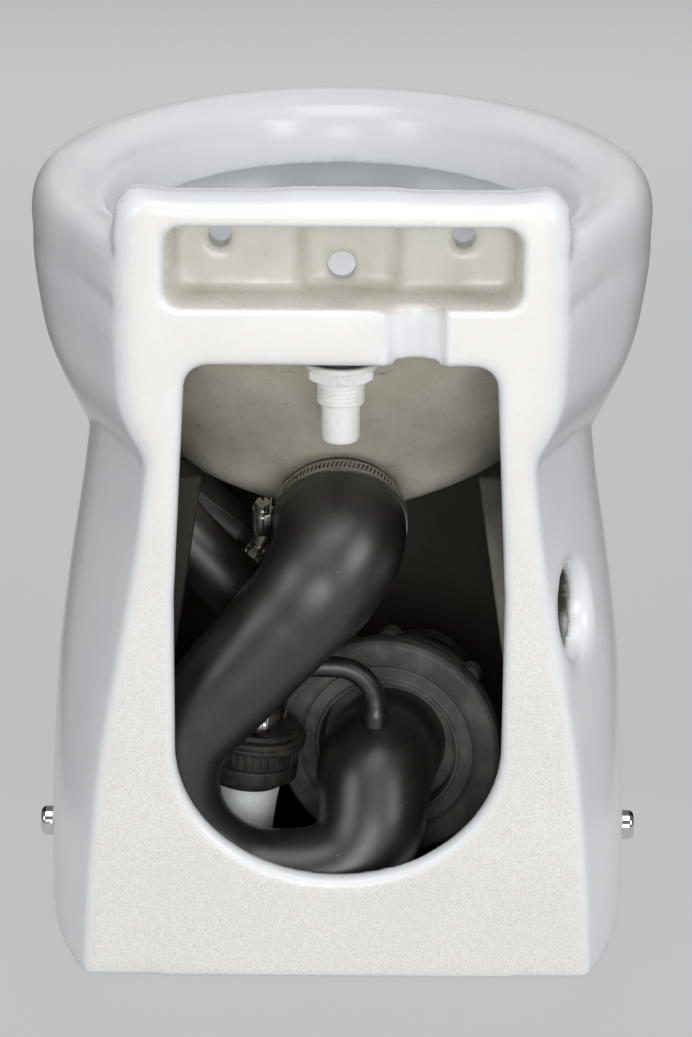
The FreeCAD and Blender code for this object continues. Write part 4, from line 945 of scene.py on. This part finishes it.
def band_link(pitch, inner, outer):
    """One slotted link of a band, facing outwards along X."""
    half, bar, slot_half = pitch / 2, pitch * 0.28, BAND_WIDTH * 0.29
    edge = BAND_WIDTH / 2
    points, faces = [], []
    across = (-edge, -edge + BAND_EDGE, -slot_half, slot_half, edge - BAND_EDGE, edge)
    steps = (-half, -bar, bar, half)
    for x, rim in ((inner, 0.0), (outer, 1.0)):
        for z in across:
            for y in steps:
                sway = SLOT_LEAN * z * (abs(z) <= slot_half) * (abs(y) < half)
                drop = BAND_ROUND * rim * (abs(z) == edge)
                points.append((x - drop, y + sway, z))
    size = len(across) * len(steps)

    def corner_at(layer, row, column):
        return layer * size + row * len(steps) + column

    for row in range(len(across) - 1):
        for column in range(len(steps) - 1):
            if row == 2 and column == 1:
                continue
            corners = [(row, column), (row, column + 1), (row + 1, column + 1), (row + 1, column)]
            for layer in (0, 1):
                faces.append([corner_at(layer, *c) for c in corners])
    loops = [[(2, 1), (2, 2)], [(2, 2), (3, 2)], [(3, 2), (3, 1)], [(3, 1), (2, 1)]]
    loops += [[(row, column), (row, column + 1)] for column in range(3) for row in (0, 5)]
    for a, b in loops:
        faces.append([corner_at(0, *a), corner_at(0, *b), corner_at(1, *b), corner_at(1, *a)])
    mesh = bpy.data.meshes.new("band_link")
    mesh.from_pydata(points, [], faces)
    return mesh


def rounded_bar(name, sizes, centre, bevel):
    """A box with rounded edges, in mm."""
    made = bmesh.new()
    bmesh.ops.create_cube(made, size=1.0)
    bmesh.ops.scale(made, vec=sizes, verts=made.verts)
    bmesh.ops.bevel(made, geom=made.edges[:], offset=bevel, segments=2, affect="EDGES", profile=0.5)
    bmesh.ops.translate(made, vec=centre, verts=made.verts)
    return mesh_from(made, name)


WORM_PITCH = 2.4
# Outline points at the mark's radius take the shape of the worm.
WORM_MARK = 4.0
WORM_ROOT = 3.6
WORM_RISE = 0.6
HEAD_FOOT = 8.0


def screw_mesh(name):
    """A worm screw along Z: ridged shank, washer face and a slotted hexagon head."""
    profile = [(0, -7.9)]
    profile += [(WORM_MARK, -7.6 + n * 0.26) for n in range(60)]
    profile += [(WORM_MARK, HEAD_FOOT), (5.9, HEAD_FOOT), (5.9, 8.8), (0, 8.8)]

    def worm(radius, height, angle):
        if radius != WORM_MARK or height > HEAD_FOOT - 0.1:
            return radius
        turn = (height / WORM_PITCH - angle / (2 * math.pi)) % 1.0
        return WORM_ROOT + WORM_RISE * min(1.0, 1.5 * (1 - abs(2 * turn - 1)))

    shank = lathe(name + "_shank", profile, Matrix.Identity(4), 40, worm)
    heads = []
    for sign in (1, -1):
        outline = [(0.7 * sign, -4.9), (0.7 * sign, 4.9)]
        outline += [(4.5 * math.cos(a) * sign, 5.2 * math.sin(a)) for a in (1.0, 0.0, -1.0)]
        points = [(x, y, z) for z in (8.7, 12.9) for x, y in outline]
        count = len(outline)
        faces = [tuple(range(count)), tuple(range(count, 2 * count))]
        faces += [(i, (i + 1) % count, (i + 1) % count + count, i + count) for i in range(count)]
        heads.append(mesh_of(name + "_head", points, faces))
    base = lathe(name + "_base", [(0, 8.6), (5.0, 8.6), (5.0, 11.2), (0, 11.2)], Matrix.Identity(4), 6)
    return joined(name, [shank, base] + heads)


def make_clip(name, centre, band_axis, housing_side, radius, screw_body):
    """A clip about a band axis, with its housing and screw on one side."""
    place = axes(centre, band_axis, housing_side)
    outer = radius + BAND_THICK
    count = round(2 * math.pi * outer / SLOT_PITCH)
    pitch = 2 * math.pi * outer / count
    link = band_link(pitch, radius - outer, 0.0)
    mesh = ring_of(name + "_strip", link, count, outer, LINK_WELD, STAINLESS, place)
    piece(mesh, STAINLESS, name + "_band", 40.0)
    bar = rounded_bar("saddle", (4.6, 15.0, 12.4), (outer + 2.4, 0, 0), 0.8)
    flap = rounded_bar("saddle_flap", (0.9, 22.0, 11.0), (outer + 0.55, 2.0, 0), 0.3)
    shell = softened([(4.3, -7.5), (5.7, -7.5), (5.7, -5.6), (6.2, -5.2), (6.2, 5.2), (5.7, 5.6), (5.7, 7.5),
                      (4.3, 7.5)], 0.35)
    to_screw = Matrix.Translation((outer + SCREW_LIFT, 0, 0)) @ Matrix.Rotation(-math.pi / 2, 4, "X")
    barrel = lathe("barrel", shell, to_screw, 48)
    housing = joined(name + "_saddle", [bar, flap, barrel])
    housing.transform(place)
    piece(housing, STAINLESS, name + "_housing", 30.0)
    screw = screw_mesh(name + "_worm")
    screw.transform(place @ to_screw)
    piece(screw, BRIGHT_STEEL, name + "_screw", 30.0, screw_body)


CLIP_TURN = math.radians(32.0)
BACKWARD = Vector((0, 1, 0))
make_clip("horn_clamp", HORN_END - HORN_OUT * 8 * MM, -HORN_OUT, (1, 0, 0), 38.5, "horn_screw")
make_clip("valve_clamp", VALVE_BASE + VALVE_UP * 115.5 * MM, -VALVE_UP, BACKWARD, 18.5, "valve_screw")
turned_side = BACKWARD * math.cos(CLIP_TURN) - OUTLET_DOWN.cross(BACKWARD) * math.sin(CLIP_TURN)
make_clip("outlet_clamp", HOSE_RIM + OUTLET_DOWN * 8 * MM, OUTLET_DOWN, turned_side, 16.6, "outlet_screw")


# Pump: stepped cover disc, flange with screw lobes, outlet pipe.
LOBES = 7
LOBE_CIRCLE = 60.5
LOBE_LEAD = math.radians(-4.0)
OUTLET_RADIUS = 14.0


def make_pump():
    cover = softened([
        (21.0, 4), (25.0, 4), (25.0, 15), (40.4, 15), (41.0, 14.4), (41.6, 1.0), (42.2, -0.6), (43.6, -0.6),
        (44.4, 1.3), (52.2, 0.9), (52.7, 2.8), (53.7, 2.8), (54.2, 0.6), (66.0, 0), (68.5, 2.5), (68.5, 12),
        (65.5, 13.5), (65.5, 20), (21.0, 20),
    ], 0.8)
    piece(lathe("pump_disc", cover, PUMP, 160), PUMP_NYLON, "pump_cover", 40.0)
    casing = softened([
        (46.0, 21.5), (57.0, 21.5), (57.0, 27), (60.5, 27), (62.0, 28), (62.0, 29.6), (61.0, 30.3),
        (62.0, 31), (62.0, 33), (60.5, 34), (54.0, 34), (54.0, 56), (12.0, 56), (12.0, 50), (46.0, 50),
    ], 0.6)
    shell = lathe("casing_shell", casing, PUMP, 128)
    lobe_outline = softened([(0, 21.7), (6.0, 21.7), (7.0, 23.0), (7.0, 33.6), (6.0, 35.0), (0, 35.0)], 0.8)
    lobe = lathe("lobe", lobe_outline, Matrix.Identity(4), 28)
    lead = Matrix.Rotation(LOBE_LEAD, 4, "Z")
    lobes = ring_of("lobes", lobe, LOBES, LOBE_CIRCLE, NO_WELD, PUMP_NYLON, PUMP @ lead)
    bend = HOSE_RIM + OUTLET_DOWN * 43.5 * MM
    corners = [spot(20, 162, 105), bend, HOSE_RIM - OUTLET_DOWN * 6 * MM]
    path, at = bent_path(corners, [60], 2.5, 5.0)
    pipe = tube("outlet_pipe", path, np.full(len(at), OUTLET_RADIUS), 40, (0, 1, 0))
    piece(joined("pump_casing", [shell, lobes, pipe]), PUMP_NYLON, "volute_housing", 40.0)


make_pump()


# Check valve: tail pipe, ribbed union collar, stepped body and the bare label.
UNION_RIBS = 40
UNION_RADIUS = 29.3
TAIL_RADIUS = 22.2
LABEL_START = math.radians(20)
LABEL_SWEEP = math.radians(140)
LABEL_FOOT = 43.0
LABEL_HEIGHT = 27.0
LABEL_LAYERS = (0.02, 0.3)
LABEL_CORNER_LIFT = 19.8


def make_valve():
    tail = softened([(16, 0), (20.6, 0), (20.6, 30), (TAIL_RADIUS, 30.4), (TAIL_RADIUS, 75), (29.8, 75.3),
                     (31.0, 76.2), (31.0, 84.6), (30.2, 85.5), (16, 85.5)], 0.7)
    piece(lathe("valve_tail_pipe", tail, VALVE, 96), VALVE_PLASTIC, "valve_tail")
    collar = softened([(24.1, 85.5), (29.2, 85.5), (29.4, 86.2), (29.4, 95.3), (29.0, 96), (24.1, 96)], 0.4)
    ring = lathe("union_ring", collar, VALVE, 96)
    rib = rounded_bar("union_rib", (1.6, 2.6, 9.6), (0.2, 0, 90.75), 0.5)
    ribs = ring_of("union_ribs", rib, UNION_RIBS, UNION_RADIUS, NO_WELD, VALVE_PLASTIC, VALVE)
    piece(joined("valve_union", [ring, ribs]), VALVE_PLASTIC, "valve_collar")
    body = softened([(16, 85.5), (24, 85.5), (24, 96), (31.6, 96), (33, 97), (33, 99.2), (32.2, 99.8),
                     (33, 100.4), (33, 102.8), (31.8, 104), (28.6, 104), (28.0, 104.6), (28.0, 106.4),
                     (27.2, 107), (14, 107), (14, 127), (11, 127), (11, 102), (16, 102)], 0.5)
    piece(lathe("valve_case", body, VALVE, 96), VALVE_PLASTIC, "valve_body")


make_valve()


def make_label():
    """The bare label round the tail, with one corner not quite pressed down."""
    rows, columns = 10, 40
    wide = columns + 1
    size = (rows + 1) * wide
    points, faces = [], []
    for layer in LABEL_LAYERS:
        for r in range(rows + 1):
            for c in range(wide):
                angle = LABEL_START + LABEL_SWEEP * c / columns
                lift = LABEL_CORNER_LIFT * max(0, c / columns - 0.9) * max(0, r / rows - 0.7)
                radius = TAIL_RADIUS + layer + lift
                height = LABEL_FOOT + LABEL_HEIGHT * r / rows
                points.append((radius * math.cos(angle), radius * math.sin(angle), height))
    for r in range(rows):
        for c in range(columns):
            a = r * wide + c
            for layer in (0, size):
                faces.append((a + layer, a + 1 + layer, a + 1 + wide + layer, a + wide + layer))
    border = list(range(columns)) + [r * wide + columns for r in range(rows)]
    border += [rows * wide + c for c in range(columns, 0, -1)] + [r * wide for r in range(rows, 0, -1)]
    faces += [(a, b, b + size, a + size) for a, b in zip(border, border[1:] + border[:1])]
    mesh = mesh_of("tail_label", points, faces)
    mesh.transform(VALVE)
    piece(mesh, LABEL, "valve_label", 60.0)


make_label()


# Chrome caps over the side screws.
def make_caps():
    outline = softened([(0, 18.2), (7.0, 18.2), (7.0, 21), (8.7, 21), (9.0, 21.5), (9.0, 26.4), (7.6, 28.4),
                        (4.0, 29), (0, 29.2)], 1.0, 5)
    for sign, side in ((1, "right"), (-1, "left")):
        place = axes(spot(sign * 152, 130, 39), (-sign, 0, 0), (0, 0, 1))
        mesh = lathe("chrome_cap_" + side, outline, place, 72)
        piece(mesh, CHROME, "screw_cap_" + side, 50.0, side + "_cap")


make_caps()


# CAD pieces that keep their own shape.
KEPT = {
    SEAL_RUBBER: "cover_seal rubber_feet shaft_seal valve_flap",
    PUMP_NYLON: "impeller motor_bell motor_end_cap cable_gland",
    BRIGHT_STEEL: "motor_shaft front_bearing rear_bearing macerator_blade cutter_plate flap_pin",
    ZINC: "flange_screws foot_screws bracket_screws floor_bracket_left floor_bracket_right pump_foot",
    MOTOR_PAINT: "motor_can",
    IRON: "armature motor_magnets",
}
for material, names in KEPT.items():
    for name in names.split():
        nodes[name].data.materials.clear()
        nodes[name].data.materials.append(material)


# Floor and light.
FLOOR_REACH = 14.0
FLOOR_DROP = 0.5 * MM


def sheet(name, corners, material):
    """A flat four-cornered sheet of the studio."""
    mesh = bpy.data.meshes.new(name)
    mesh.from_pydata(corners, [], [(0, 1, 2, 3)])
    mesh.materials.append(material)
    return placed(name, mesh)


def make_stage():
    around = ((-1, -1), (1, -1), (1, 1), (-1, 1))
    floor = sheet("paper_floor", [(x * FLOOR_REACH, y * FLOOR_REACH, 0) for x, y in around], PAPER)
    floor.location.z = -FLOOR_DROP
    # Black flags at both sides, which only reflections show.
    for name, side in (("left_flag", 1), ("right_flag", -1)):
        edges = ((0.285, 0.05, 0.0), (0.285, 0.05, 0.6), (0.49, -1.6, 0.6), (0.49, -1.6, 0.0))
        flag = sheet(name, [(side * x, y, z) for x, y, z in edges], FLAG)
        flag.visible_camera = False
    # Name, place, aim, size in metres and power in watts of each lamp.
    lamps = [
        ("top_box", (0.0, 0.7, 2.4), (0.0, 0.0, 0.2), (1.8, 1.8), 25.0),
        ("left_box", (1.85, 1.45, 1.3), (0.0, 0.0, 0.25), (1.1, 1.1), 11.5),
        ("right_box", (-1.85, 1.45, 1.3), (0.0, 0.0, 0.25), (1.1, 1.1), 17.5),
        ("behind_box", (0.0, 2.3, 0.8), (0.0, 0.1, 0.25), (1.1, 0.6), 9.0),
        ("low_box", (-0.2, 2.2, 0.34), (0.0, 0.1, 0.25), (1.0, 0.5), 8.0),
        ("front_fill", (0.0, -2.4, 1.3), (0.0, -0.1, 0.25), (1.6, 1.6), 34.0),
    ]
    for name, at, aim, size, power in lamps:
        data = bpy.data.lights.new(name, "AREA")
        data.shape = "RECTANGLE"
        data.size, data.size_y = size
        data.energy = power
        lamp = placed(name, data)
        lamp.visible_glossy = name != "front_fill"
        lamp.location = at
        lamp.rotation_euler = (Vector(aim) - Vector(at)).to_track_quat("-Z", "Y").to_euler()
    world = bpy.data.worlds.new("studio")
    world.use_nodes = True
    tree = world.node_tree
    tree.nodes.clear()
    sky = add(tree, "ShaderNodeBackground", Color="#d6d8da", Strength=0.26)
    add(tree, "ShaderNodeOutputWorld", Surface=sky)
    scene.world = world


make_stage()

bpy.context.view_layer.update()
